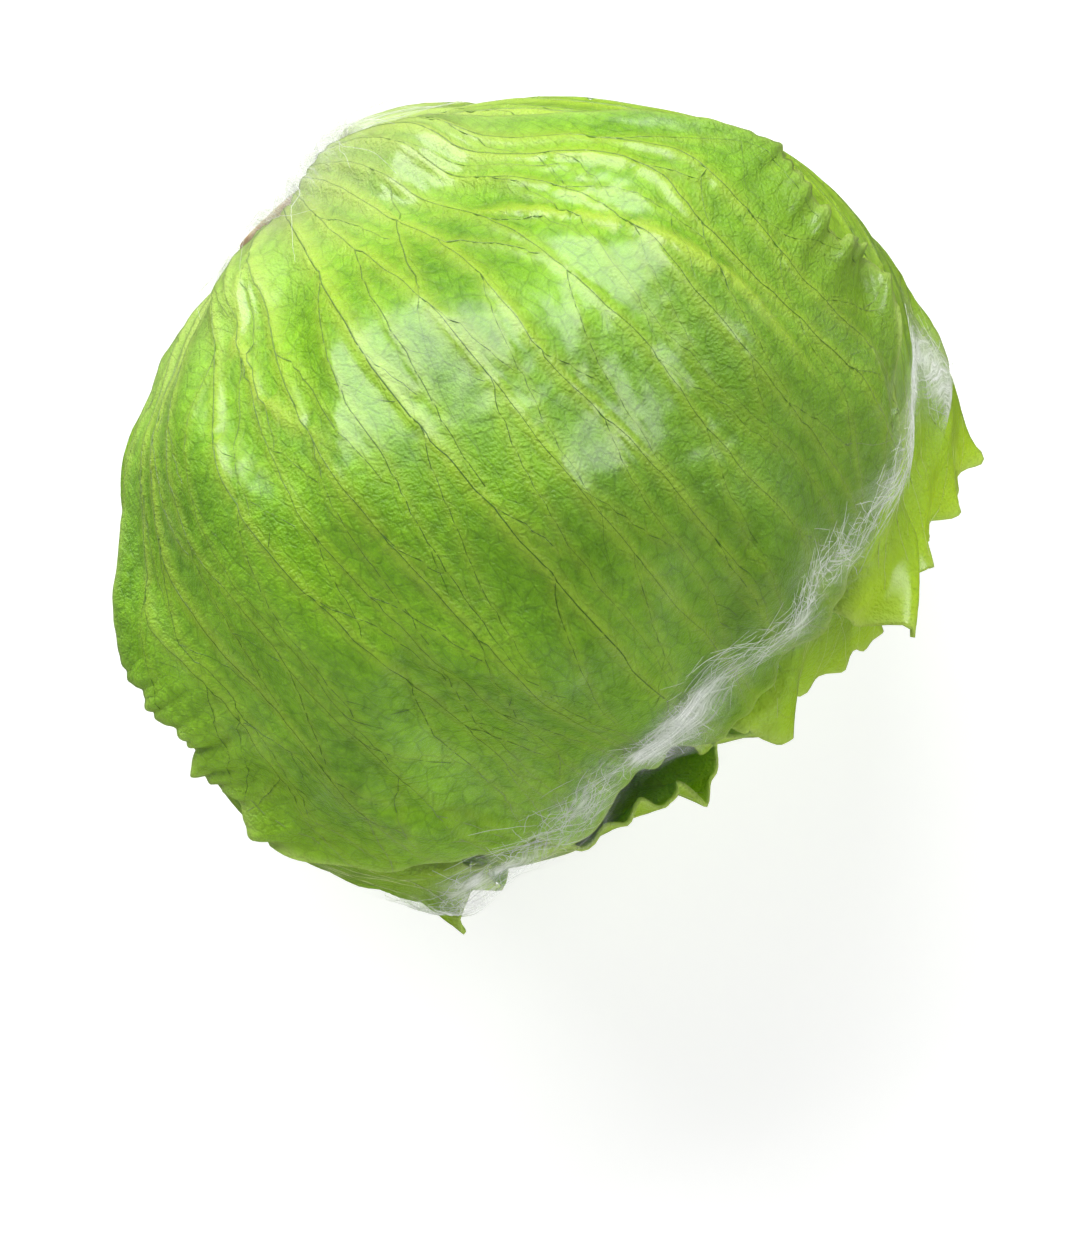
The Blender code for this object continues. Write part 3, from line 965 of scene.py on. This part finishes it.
# share of the radius, share of the length
STEM_PROFILE = [
    (0.00, 0.020), (0.15, 0.022), (0.30, 0.021), (0.45, 0.016), (0.56, 0.010), (0.62, 0.014), (0.74, 0.018),
    (0.86, 0.008), (0.93, 0.000), (0.975, 0.006), (1.00, 0.030), (0.99, 0.10), (0.96, 0.30), (0.90, 0.55),
    (0.78, 0.80), (0.64, 0.96), (0.50, 1.00), (0.00, 1.00),
]


def smooth_profile(corners, steps):
    """More points along a profile, at even shares of its length."""
    corners = np.array(corners)
    walked = np.concatenate([[0.0], np.cumsum(np.hypot(*np.diff(corners, axis=0).T))])
    even = np.linspace(0.0, walked[-1], steps)
    return np.stack([np.interp(even, walked, corners[:, 0]), np.interp(even, walked, corners[:, 1])], -1)


profile = smooth_profile(STEM_PROFILE, 70)
turn = np.linspace(0.0, -2.0 * math.pi, STEM_COLUMNS, endpoint=False)
wobble = 1.0 - 0.015 * (1.0 + np.sin(3.0 * turn + 1.0)) - 0.012 * (1.0 + np.sin(7.0 * turn))
radius = profile[:, 0, None] * STEM_RADIUS * wobble
stem_points = np.stack([
    stem_low.x + profile[:, 1, None] * STEM_LENGTH * np.ones_like(radius),
    STEM_AXIS[1] + radius * np.sin(turn),
    STEM_AXIS[2] + radius * np.cos(turn),
], axis=-1)
stem = grid_mesh("cut_stem", stem_points, {
    "from_axis": profile[:, 0, None] * np.ones_like(radius),
    "behind_cut": profile[:, 1, None] * np.ones_like(radius),
}, closed=True)
print("stem radius", round(STEM_RADIUS, 4), "length", round(STEM_LENGTH, 4))

# %% [markdown]
# ## The stem's finish
# The cut face is pale and full of pores, and it browns where it dries: at the rim and in a ring of
# vessels. It could be painted on a texture, but both are a matter of how far a place is from the
# axis, so that distance colours it, broken up by noise.

# %% Stem material
CUT_COLOUR = (0.72, 0.68, 0.44, 1.0)
BROWN_COLOUR = (0.26, 0.11, 0.035, 1.0)
SIDE_COLOUR = (0.62, 0.66, 0.36, 1.0)


def stem_material():
    made, tree, shader = new_material("cut_stem")
    place = add(tree, "ShaderNodeTexCoord").outputs["Object"]
    blotch = noise(tree, place, 260.0, 5.0)
    pores = add(tree, "ShaderNodeTexVoronoi", {"Vector": place, "Scale": 900.0}).outputs["Distance"]
    out = measure(tree, "from_axis")
    rim = ramp(tree, calc(tree, "MULTIPLY_ADD", blotch, 0.30, out), 0.98, 1.16)
    ring = times(tree, calc(tree, "ABSOLUTE", calc(tree, "SUBTRACT", out, 0.58)), 12.0)
    ring = times(tree, calc(tree, "SUBTRACT", 1.0, ramp(tree, ring, 0.0, 1.0)), blotch)
    brown = calc(tree, "MAXIMUM", rim, ring)
    face = calc(tree, "SUBTRACT", 1.0, ramp(tree, measure(tree, "behind_cut"), 0.02, 0.10))
    base = colour_mix(tree, face, SIDE_COLOUR, CUT_COLOUR)
    browned = times(tree, brown, times(tree, face, 0.85))
    base = colour_mix(tree, browned, base, BROWN_COLOUR)
    base = colour_mix(tree, times(tree, ramp(tree, pores, 0.35, 0.1), 0.2), base, BROWN_COLOUR)
    tree.links.new(base, shader.inputs["Base Color"])
    raise_skin(tree, shader, pores, 0.35, 0.0004)
    set_inputs(shader, {"Roughness": 0.55})
    return made


stem.data.materials.append(stem_material())
print("stem material:", stem.data.materials[0].name)

# %% [markdown]
# ## The film
# The head is wrapped in thin clear film. Stretched smooth it hardly shows; it only turns white
# where it creases, so its folds and the places it is gathered are what we see. We measure how far
# the finished leaves reach in each direction, pull the film over that like a drum skin, and then
# let Geometry Nodes raise creases along lines, because creases follow paths as ribs do.

# %% Film shape
FILM_ROWS, FILM_COLUMNS = 230, 270
FILM_CLEARANCE = 0.0007
FILM_FLOOR = 0.0003
REACH_ROWS, REACH_COLUMNS = 144, 168


def leaf_reach():
    """How far the leaves come out in each direction, as rows from stem to crown."""
    reach = np.zeros((REACH_ROWS, REACH_COLUMNS))
    for obj in leaf_objects.values():
        places = np.zeros(len(obj.data.vertices) * 3, np.float32)
        obj.data.vertices.foreach_get("co", places)
        away = places.reshape(-1, 3) - MIDDLE
        radius = np.linalg.norm(away, axis=1)
        row = np.arccos(np.clip(-away[:, 0] / radius, -1, 1)) / math.pi * (REACH_ROWS - 1)
        column = (-np.arctan2(away[:, 1], away[:, 2]) / (2 * math.pi) * REACH_COLUMNS) % REACH_COLUMNS
        cell = np.rint(row).astype(int), np.rint(column).astype(int) % REACH_COLUMNS
        np.maximum.at(reach, cell, radius)
    return reach


def neighbours(values):
    """The rows before and after, and the columns to both sides."""
    padded = np.concatenate([values[:1], values, values[-1:]])
    return padded[:-2], padded[2:], np.roll(values, 1, axis=1), np.roll(values, -1, axis=1)


def drum_skin(reach):
    """The reach, bridged over its hollows as stretched film would."""
    for _ in range(2):
        reach = np.maximum.reduce([reach, *neighbours(reach)])
    skin = reach
    for _ in range(10):
        skin = np.maximum(0.2 * (skin + sum(neighbours(skin))), reach)
    for _ in range(4):
        skin = 0.2 * (skin + sum(neighbours(skin)))
    return skin


FRILL_ROOM = 0.0020  # frills that stand out more than this come through the film
coarse_way = round_form(REACH_ROWS, REACH_COLUMNS)[0]
leaf_top = heart_radius(coarse_way) + lumps(coarse_way) + lift_under(len(LEAVES), coarse_way)
skin = drum_skin(np.minimum(leaf_reach(), leaf_top + FRILL_ROOM))
print("film's skin from", round(float(skin.min()), 4), "to", round(float(skin.max()), 4))


# %% Make the film's sheet
def finer(skin, from_stem, round_stem):
    """The skin's radius at these angles, evenly between its own rows and columns."""
    row = from_stem / math.pi * (REACH_ROWS - 1)
    column = -round_stem / (2 * math.pi) * REACH_COLUMNS
    row_low = np.clip(np.floor(row).astype(int), 0, REACH_ROWS - 2)
    column_low = np.floor(column).astype(int)
    row_share, column_share = row - row_low, column - column_low
    radius = 0.0
    for row_step, row_part in ((0, 1.0 - row_share), (1, row_share)):
        for column_step, column_part in ((0, 1.0 - column_share), (1, column_share)):
            picked = skin[row_low + row_step, (column_low + column_step) % REACH_COLUMNS]
            radius = radius + picked * row_part * column_part
    return radius


PLEAT_HEIGHT = 0.0011
GATHER_HEIGHT = 0.003
PAST_STEM = 0.004  # the film may bulge this far past the CAD box at the stem
way, from_stem, round_stem = round_form(FILM_ROWS, FILM_COLUMNS)
radius = finer(skin, from_stem, round_stem)
radius[:3] = radius[:3].mean()
radius[-3:] = radius[-3:].mean()
gather = np.exp(-((from_stem / 0.20) ** 2))
pleats = PLEAT_HEIGHT * np.abs(np.sin(9.0 * round_stem + 2.0 * np.sin(3.0 * round_stem)))
pleats = pleats * np.exp(-(((from_stem - 0.30) / 0.28) ** 2))
film_points = MIDDLE + way * (radius + FILM_CLEARANCE + pleats + GATHER_HEIGHT * gather)[..., None]
film_points[..., 0] = np.clip(film_points[..., 0], cad_bounds[0][0] - PAST_STEM, None)
film_points[..., 2] = np.maximum(film_points[..., 2], FILM_FLOOR)
film = grid_mesh("tight_film", film_points, {
    "from_stem": from_stem * 0.070,
    "round_stem": np.abs(round_stem + math.pi) * 0.060,
    "gather": 1.0 - smooth_step(0.15, 0.62, from_stem),
    "crown": smooth_step(1.2, 1.9, from_stem),
}, closed=True)
print("film reaches", round(float(radius.min()), 4), "to", round(float(radius.max()), 4))

# %% [markdown]
# ## Creases and strands
# Pulled film creases where its pull changes direction, and crumples to white strands where it is
# drawn in round the crown and the stem. The few main creases run where hands pulled it, so they are
# drawn; the others wander at random, and the strands follow the band. Simulated film would crease
# by itself, but not where we want it, and a drawn line can be moved.

# %% Crease and band lines
# (x, y) in millimetres, from above
TOP_CREASES = [
    [(-73, 8), (-73, -6), (-63, -20), (-52, -28), (-38, -31), (-30, -28), (-20, -23)],
    [(-71, 12), (-70, -2), (-60, -16), (-51, -24), (-42, -28)],
    [(-58, -45), (-44, -58), (-20, -70), (5, -73), (30, -66), (48, -56)],
    [(-62, -36), (-48, -46), (-30, -60), (-12, -66), (8, -68)],
    [(-66, 30), (-50, 46), (-36, 56), (-18, 66), (-2, 70), (16, 74)],
    [(36, 66), (44, 52), (50, 38), (52, 26), (57, 8), (59, -6)],
    [(33, 64), (42, 48), (47, 34), (50, 20)],
    [(59, -4), (52, -2), (42, 2), (36, 10)],
    [(59, -5), (54, -12), (45, -16), (33, -18)],
    [(50, 37), (44, 33), (38, 34), (30, 30)],
    [(35, 67), (28, 60), (20, 58), (10, 50)],
    [(60, -39), (50, -36), (44, -30), (37, -28)],
    [(60, -39), (48, -44), (36, -46), (24, -50)],
    [(59, -6), (62, -20), (61, -32), (58, -44), (48, -58)],
]
# Places along the gathered band round the crown: degrees round the stem, degrees from the stem.
BAND = [
    (77, 115), (64, 122), (54, 128), (41, 134), (30, 135), (23, 140), (-2, 142), (-11, 145), (-25, 146),
    (-45, 142), (-59, 137), (-80, 132), (-105, 128), (-140, 136), (-180, 142), (-220, 134), (-260, 124),
    (-283, 115),
]
print("main creases:", len(TOP_CREASES), "places along the band:", len(BAND))


# %% Lines on the film
LINES_ABOVE = 0.003
SHAKE = 0.0024  # how far a line strays from one point to the next, as a share of the radius


def on_film(ways):
    """Places in these directions, a little above the film."""
    angles = np.arccos(np.clip(-ways[:, 0], -1, 1)) / math.pi * (FILM_ROWS - 1)
    rounds = (-np.arctan2(ways[:, 1], ways[:, 2]) / (2 * math.pi) * FILM_COLUMNS) % FILM_COLUMNS
    nearest = film_points[np.rint(angles).astype(int), np.rint(rounds).astype(int) % FILM_COLUMNS]
    return MIDDLE + ways * (np.linalg.norm(nearest - MIDDLE, axis=1) + LINES_ABOVE)[:, None]


def by_angles(around, along):
    around, along = np.radians(around), np.radians(along)
    return np.stack([-np.cos(along), np.sin(along) * np.sin(around), np.sin(along) * np.cos(around)], -1)


def film_lines(name, lines, draw):
    """Edges through the lines' points, with a width that swells and dies away at the ends."""
    places, widths = [], []
    for ways in lines:
        count = len(ways)
        shake = np.cumsum(draw.normal(0.0, SHAKE, (count + 4, 3)), axis=0)
        shake = np.stack([shake[step:step + count] for step in range(5)]).mean(0)
        shake -= np.linspace(0.0, 1.0, count)[:, None] * shake[-1]
        ways = ways + shake
        places.append(on_film(ways / np.linalg.norm(ways, axis=1)[:, None]))
        swells = 0.25 + 0.75 * np.sin(np.linspace(0.1, math.pi - 0.1, count))
        widths.append(draw.uniform(0.4, 1.0) * swells)
    return line_mesh(name, places, {"width": widths})


print("lines lie", LINES_ABOVE, "above the film, and are dropped on it")


# %% Loose creases and strands
def random_creases(count, draw):
    """Creases for the rest of the film: short wandering lines, most of them leading from the stem."""
    made = []
    for number in range(count):
        around, along = draw.uniform(-180, 180), draw.uniform(12, 150)
        heading = draw.normal(0.0, 0.5) if number % 3 else any_turn(draw)
        line = []
        for _ in range(int(draw.uniform(14, 38))):
            line.append((around, along))
            heading += draw.normal(0.0, 0.10)
            along = min(max(along + 1.2 * math.cos(heading), 6.0), 172.0)
            around += 1.2 * math.sin(heading) / math.sin(math.radians(along))
        made.append(by_angles(*np.array(line).T))
    return made


print("points of a trial crease:", len(random_creases(1, np.random.default_rng(SEED))[0]))


# %% Make the lines
BAND_STRANDS, STEM_STRANDS, LOOSE_CREASES = 1300, 36, 14
STRAND_REACH = (0.10, 0.45)  # in steps of the band's list


def fibres(draw):
    """Fine white strands: along the band and out of the stem's gather."""
    made = []
    ring = np.array(BAND, float)
    for _ in range(BAND_STRANDS):
        start, reach = draw.uniform(0, len(BAND) - 1.0), draw.uniform(*STRAND_REACH)
        steps = np.linspace(start, start + reach, int(5 + 14 * reach)) % (len(BAND) - 1.0)
        around, along = (np.interp(steps, np.arange(len(BAND)), ring[:, i]) for i in (0, 1))
        shift = draw.normal(0.0, 2.3) + draw.normal(0.0, 1.6) * np.linspace(-1, 1, len(steps))
        if np.abs(np.diff(around)).max() < 90:
            made.append(by_angles(around, along + shift))
    for _ in range(STEM_STRANDS):
        around, along = draw.uniform(0, 360), draw.uniform(7, 18)
        steps = np.linspace(0, 1, int(draw.uniform(10, 26)))
        made.append(by_angles(around + draw.normal(0, 14) * steps, along + len(steps) * 1.3 * steps))
    return made


draw = np.random.default_rng(SEED * 7)
crease_lines = [from_above(line) for line in TOP_CREASES] + random_creases(LOOSE_CREASES, draw)
creases = film_lines("creases", crease_lines, draw)
strands = film_lines("strands", fibres(draw), draw)
band_steps = np.linspace(0.0, len(BAND) - 1.0, 200)
band_angles = [np.interp(band_steps, np.arange(len(BAND)), np.array(BAND)[:, i]) for i in (0, 1)]
band = film_lines("band", [by_angles(*band_angles)], draw)
print("crease points:", len(creases.data.vertices), "band points:", len(band.data.vertices))

# %% [markdown]
# ## The film's finish
# Clear film has almost no colour, so the finish is mostly about where it isn't clear. Glass would
# bend the light and hide the leaves, so we make the film thin by its alpha instead: stretched noise
# makes crumples along the band and out from the stem, and the haze that the mesh carries says how
# much of them shows. Everything else stays nearly see-through.

# %% Film material
def film_material():
    made, tree, shader = new_material("clear_film")
    place = add(tree, "ShaderNodeTexCoord").outputs["Object"]
    around, along = measure(tree, "round_stem"), measure(tree, "from_stem")
    warp = noise(tree, place, 45.0, 2.0)
    bend = times(tree, calc(tree, "SUBTRACT", warp, 0.5), 0.022)
    ringwise = vector(tree, times(tree, around, 90.0), times(tree, calc(tree, "ADD", along, bend), 1100.0))
    turned = times(tree, calc(tree, "ADD", around, bend), 800.0)
    polewise = vector(tree, turned, times(tree, along, 90.0), 3.0)
    rings = ramp(tree, noise(tree, ringwise, 1.0, 6.0, Roughness=0.72), 0.42, 0.64)
    poles = ramp(tree, noise(tree, polewise, 1.0, 6.0, Roughness=0.72), 0.46, 0.72)
    rings = times(tree, rings, measure(tree, "crown"))
    strands = calc(tree, "MAXIMUM", rings, times(tree, poles, 0.8))
    cloud = noise(tree, place, 60.0, 3.0)
    haze = times(tree, measure(tree, "haze"), ramp(tree, cloud, 0.30, 0.52))
    core = calc(tree, "POWER", haze, 2.2)
    whole = calc(tree, "MULTIPLY_ADD", core, 0.50, 0.12)
    milk = times(tree, haze, calc(tree, "MULTIPLY_ADD", strands, 0.95, whole))
    lines = times(tree, measure(tree, "crease"), calc(tree, "MULTIPLY_ADD", strands, 0.25, 0.12))
    alpha = calc(tree, "ADD", calc(tree, "ADD", milk, lines), 0.004)
    alpha = calc(tree, "MULTIPLY_ADD", measure(tree, "strand"), 0.55, alpha)
    tree.links.new(calc(tree, "MINIMUM", alpha, 0.92), shader.inputs["Alpha"])
    raise_skin(tree, shader, strands, 0.6, 0.0006)
    set_inputs(shader, {
        "Base Color": (0.95, 0.97, 0.94, 1.0),
        "Roughness": 0.30,
        # painted light: a faint glow stands in for light coming through the film from behind and whitens its
        # strands
        "Emission Color": (0.97, 1.0, 0.95, 1.0),
        "Emission Strength": 0.10,
    })
    return made


FILM_FINISH = film_material()
print("film material nodes:", len(FILM_FINISH.node_tree.nodes))

# %% [markdown]
# ## Film relief with Geometry Nodes
# The tree measures each place's distance to the creases and to the band, as the leaf tree does for
# ribs. It raises the creases, ripples the band, and stores both measures for the finish to read.

# %% Film crease tree
def film_crease_tree():
    tree, given, result = geometry_tree("film_creases", {
        "Creases": "NodeSocketObject",
        "Band": "NodeSocketObject",
        "Crease Height": "NodeSocketFloat",
        "Crease Width": "NodeSocketFloat",
        "Band Width": "NodeSocketFloat",
        "Wrinkle Height": "NodeSocketFloat",
        "Material": "NodeSocketMaterial",
    })
    lines = lines_of(tree, given, "Creases")
    to_line = distance_to(tree, lines)
    to_band = distance_to(tree, lines_of(tree, given, "Band"))
    width = width_near(tree, lines)
    crease = bell(tree, to_line, times(tree, width, given.outputs["Crease Width"]))
    crease = times(tree, crease, width)
    banded = bell(tree, to_band, given.outputs["Band Width"])
    place = add(tree, "GeometryNodeInputPosition").outputs[0]
    uneven = ramp(tree, noise(tree, place, 34.0, 2.0), 0.32, 0.54)
    banded = times(tree, banded, calc(tree, "MULTIPLY_ADD", uneven, 0.75, 0.25))
    haze = calc(tree, "MAXIMUM", banded, times(tree, named(tree, "gather"), 0.95))
    haze = calc(tree, "MAXIMUM", haze, times(tree, bell(tree, to_line, 0.004), 0.08))
    haze = calc(tree, "MAXIMUM", haze, times(tree, named(tree, "crown"), 0.015))
    around, along = named(tree, "round_stem"), named(tree, "from_stem")
    ringwise = vector(tree, times(tree, around, 60.0), times(tree, along, 330.0))
    ripple = noise(tree, ringwise, 1.0, 3.0, Distortion=0.8)
    ripple = calc(tree, "ABSOLUTE", calc(tree, "SUBTRACT", ripple, 0.5))
    ripple = times(tree, times(tree, ripple, haze), given.outputs["Wrinkle Height"])
    height = calc(tree, "MULTIPLY_ADD", crease, given.outputs["Crease Height"], ripple)
    return end_relief(tree, given, result, height, {"crease": crease, "haze": haze})


FILM_CREASES = film_crease_tree()
print("film crease nodes:", len(FILM_CREASES.nodes))

# %% Finish the film
use_tree(film, FILM_CREASES, {
    "Creases": creases,
    "Band": band,
    "Crease Height": 0.0010,
    "Crease Width": 0.00085,
    "Band Width": 0.0070,
    "Wrinkle Height": 0.0028,
    "Material": FILM_FINISH,
})
use_tree(film, STRANDS, {
    "Lines": strands,
    "Full Width": 1.0,
    "Thickness": 0.000050,
    "Stands Proud": 0.0,
    "Material": FILM_FINISH,
})
film = finished(film)
for spare in (creases, band, strands):
    bpy.data.objects.remove(spare)
film.data.calc_loop_triangles()
print("film triangles:", len(film.data.loop_triangles))

# %% [markdown]
# ## Water drops
# A washed head keeps small drops of water where the frills hold them. Each drop is the same small
# ball at another size, so we give Geometry Nodes the places and let it set a ball on each.

# %% Places for the drops
def drop_places(leaf_name, count, draw):
    """Places on a leaf's outer edge, near its tip."""
    mesh = leaf_objects[leaf_name].data
    places = np.zeros(len(mesh.vertices) * 3, np.float32)
    mesh.vertices.foreach_get("co", places)
    edge = np.zeros(len(mesh.vertices), np.float32)
    tip = np.zeros(len(mesh.vertices), np.float32)
    mesh.attributes["edge"].data.foreach_get("value", edge)
    mesh.attributes["tip"].data.foreach_get("value", tip)
    likely = np.flatnonzero((edge > 0.30) & (tip > 0.5 * tip.max()) & (places[2::3] > LOWEST_DROP))
    return places.reshape(-1, 3)[draw.choice(likely, count, replace=False)]


LOWEST_DROP = 0.020
DROPS = {"wrapper_leaf_right": 5, "wrapper_leaf_left": 4, "wrapper_leaf_top": 3, "wrapper_leaf_under": 3}
draw = np.random.default_rng(SEED * 3)
spots = np.concatenate([drop_places(leaf_name, count, draw) for leaf_name, count in DROPS.items()])
print("drops:", len(spots))


# %% Drop tree
def drop_tree():
    tree, given, result = geometry_tree("water_drops", {
        "Smallest": "NodeSocketFloat",
        "Largest": "NodeSocketFloat",
        "Seed": "NodeSocketInt",
        "Material": "NodeSocketMaterial",
    })
    ball = add(tree, "GeometryNodeMeshIcoSphere", {"Radius": 1.0, "Subdivisions": 3}).outputs[0]
    size = add(tree, "FunctionNodeRandomValue", {
        "Min": given.outputs["Smallest"], "Max": given.outputs["Largest"], "Seed": given.outputs["Seed"]},
        data_type="FLOAT")
    sized = next(socket for socket in size.outputs if socket.enabled)
    ball = add(tree, "GeometryNodeSetShadeSmooth", {"Geometry": ball, "Shade Smooth": True}).outputs[0]
    points = add(tree, "GeometryNodeMeshToPoints", {"Mesh": given.outputs["Geometry"]}).outputs[0]
    values = {"Points": points, "Instance": ball, "Scale": sized}
    drops = add(tree, "GeometryNodeInstanceOnPoints", values).outputs[0]
    return end_tree(tree, given, result, drops)


DROP_TREE = drop_tree()
print("drop nodes:", len(DROP_TREE.nodes))

# %% Water and its drops
water, tree, shader = new_material("water")
place = add(tree, "ShaderNodeTexCoord").outputs["Object"]
ripple = noise(tree, place, 600.0, 1.0)
raise_skin(tree, shader, ripple, 0.05, 0.0002)
set_inputs(shader, {
    "Base Color": (0.96, 1.0, 0.97, 1.0),
    "Roughness": 0.03,
    "IOR": 1.33,
    "Transmission Weight": 1.0,
})
mesh = bpy.data.meshes.new("drops")
mesh.from_pydata(spots.tolist(), [], [])
drops = new_object("water_drops", mesh)
use_tree(drops, DROP_TREE, {"Smallest": 0.00035, "Largest": 0.0010, "Seed": SEED, "Material": water})
drops = finished(drops)
print("faces of the drops:", len(drops.data.polygons))

# %% [markdown]
# ## Joining the pieces to the frame
# Each finished piece stands for one CAD solid, and that solid is hidden. The head
# has no moving parts, so they all ride on one body.

# %% Put the pieces in the frame
PIECES = [
    (obj, name, "inner_leaf" if name.startswith("cap") else "leaf") for name, obj in leaf_objects.items()
]
PIECES += [(heart, "heart", "inner_leaf"), (stem, "stem", "stem"), (film, "clear_film", "film")]
for piece, node, finish in PIECES:
    # a leaf made under its node's name gets a name of its own
    if piece.name == node or piece.name.startswith(node + "."):
        piece.name = node + "_fine"
    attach(piece, "root")
    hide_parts(node)
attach(drops, "root")
print("pieces:", sorted(piece.name for piece, _, _ in PIECES))

# %% [markdown]
# ## Floor
# The head lies on a white table. Plain white would turn grey under these lights, or need so much
# light that the leaves would bleach. A white that lights itself a little stays white and keeps the
# shadow under the head soft and small.

# %% Floor
bpy.ops.mesh.primitive_plane_add(size=60.0, location=(0, 0, 0))
floor = bpy.context.object
floor.name = "floor"
floor_finish, tree, shader = new_material("floor")
place = add(tree, "ShaderNodeTexCoord").outputs["Object"]
speckle = noise(tree, place, 300.0, 2.0)
white = colour_mix(tree, speckle, (0.52, 0.52, 0.525, 1.0), (0.55, 0.55, 0.55, 1.0))
tree.links.new(white, shader.inputs["Base Color"])
set_inputs(shader, {
    "Roughness": 0.9,
    "Specular IOR Level": 0.1,
    "Emission Color": (1.0, 1.0, 1.0, 1.0),
    "Emission Strength": 0.68,
})
floor.data.materials.append(floor_finish)
floor.visible_glossy = False
print("floor size:", tuple(round(size) for size in floor.dimensions))

# %% [markdown]
# ## Light
# A large softbox stands beyond the stem end and a smaller one to the side: wet leaves show them as
# broad pale patches. A third, which gloss doesn't show, lifts the crown end. The sky glows low round
# the horizon and is dark overhead, and it hardly shows in gloss, so the green stays deep.

# %% Sky
HORIZON_GLOW, OVERHEAD_GLOW, GROUND_GLOW = 1.3, 0.09, 0.22
GLOSS_SHARE = 0.12  # how much of the sky a glossy surface shows
scene = bpy.context.scene
scene.view_settings.view_transform = "Standard"
scene.view_settings.look = "None"
world = bpy.data.worlds.new("studio")
scene.world = world
world.use_nodes = True
sky = world.node_tree
direction = add(sky, "ShaderNodeTexCoord").outputs["Generated"]
height = add(sky, "ShaderNodeSeparateXYZ", {0: direction}).outputs[2]
above = add(sky, "ShaderNodeMapRange", {0: height, 1: 0.0, 2: 0.45, 3: HORIZON_GLOW, 4: OVERHEAD_GLOW})
below = add(sky, "ShaderNodeMapRange", {0: height, 1: -0.05, 2: 0.0, 3: GROUND_GLOW, 4: HORIZON_GLOW})
glow = calc(sky, "MINIMUM", above.outputs[0], below.outputs[0])
glossy_ray = add(sky, "ShaderNodeLightPath").outputs["Is Glossy Ray"]
shown = calc(sky, "MULTIPLY_ADD", glossy_ray, GLOSS_SHARE - 1.0, 1.0)
sky.links.new(times(sky, glow, shown), sky.nodes["Background"].inputs[1])
sky.nodes["Background"].inputs[0].default_value = (1.0, 1.0, 1.0, 1.0)
print("sky glow from", HORIZON_GLOW, "at the horizon to", OVERHEAD_GLOW, "overhead")

# %% Softboxes
low, high = (Vector(corner) for corner in cad_bounds)
centre = (low + high) / 2


def softbox(name, place, size, brightness, in_gloss=True):
    """A softbox that faces the head; brightness is the radiance of its cloth."""
    light = bpy.data.lights.new(name, "AREA")
    light.shape = "RECTANGLE"
    light.size, light.size_y = size
    light.energy = brightness * math.pi * size[0] * size[1]
    obj = new_object(name, light)
    obj.location = centre + Vector(place)
    obj.rotation_euler = (centre - obj.location).to_track_quat("-Z", "Y").to_euler()
    obj.visible_glossy = in_gloss
    print(name, "power", round(light.energy, 1))


softbox("key_softbox", (-2.2, 0.70, 1.75), (3.0, 2.0), 6.7)
softbox("side_softbox", (0.28, 1.85, 1.95), (0.95, 0.95), 6.4)
softbox("crown_softbox", (2.30, -0.90, 0.50), (2.6, 1.0), 3.0, in_gloss=False)

# %% [markdown]
# ## Camera
# The camera looks straight down, turned so that the stem lies at the upper left and the crown at
# the lower right. A long lens, nearly a metre up, keeps the perspective weak.

# %% Camera
VIEW_TURN = math.radians(50.0)
CAMERA_HEIGHT = 0.935
TO_THE_RIGHT, DOWNWARDS = 0.0063, 0.0324  # of the head's middle, to frame it high in the picture
right = Vector((math.cos(VIEW_TURN), math.sin(VIEW_TURN), 0.0))
up = Vector((-math.sin(VIEW_TURN), math.cos(VIEW_TURN), 0.0))
lens = bpy.data.cameras.new("camera")
lens.lens = 130.0
lens.clip_start = 0.01
camera = new_object("camera", lens)
camera.matrix_world = Matrix((
    (right.x, up.x, 0.0, 0.0),
    (right.y, up.y, 0.0, 0.0),
    (right.z, up.z, 1.0, 0.0),
    (0.0, 0.0, 0.0, 1.0),
))
camera.location = Vector((centre.x, centre.y, CAMERA_HEIGHT)) + right * TO_THE_RIGHT - up * DOWNWARDS
scene.camera = camera
print("camera", round(camera.location.z, 3), "above the floor, lens", lens.lens)
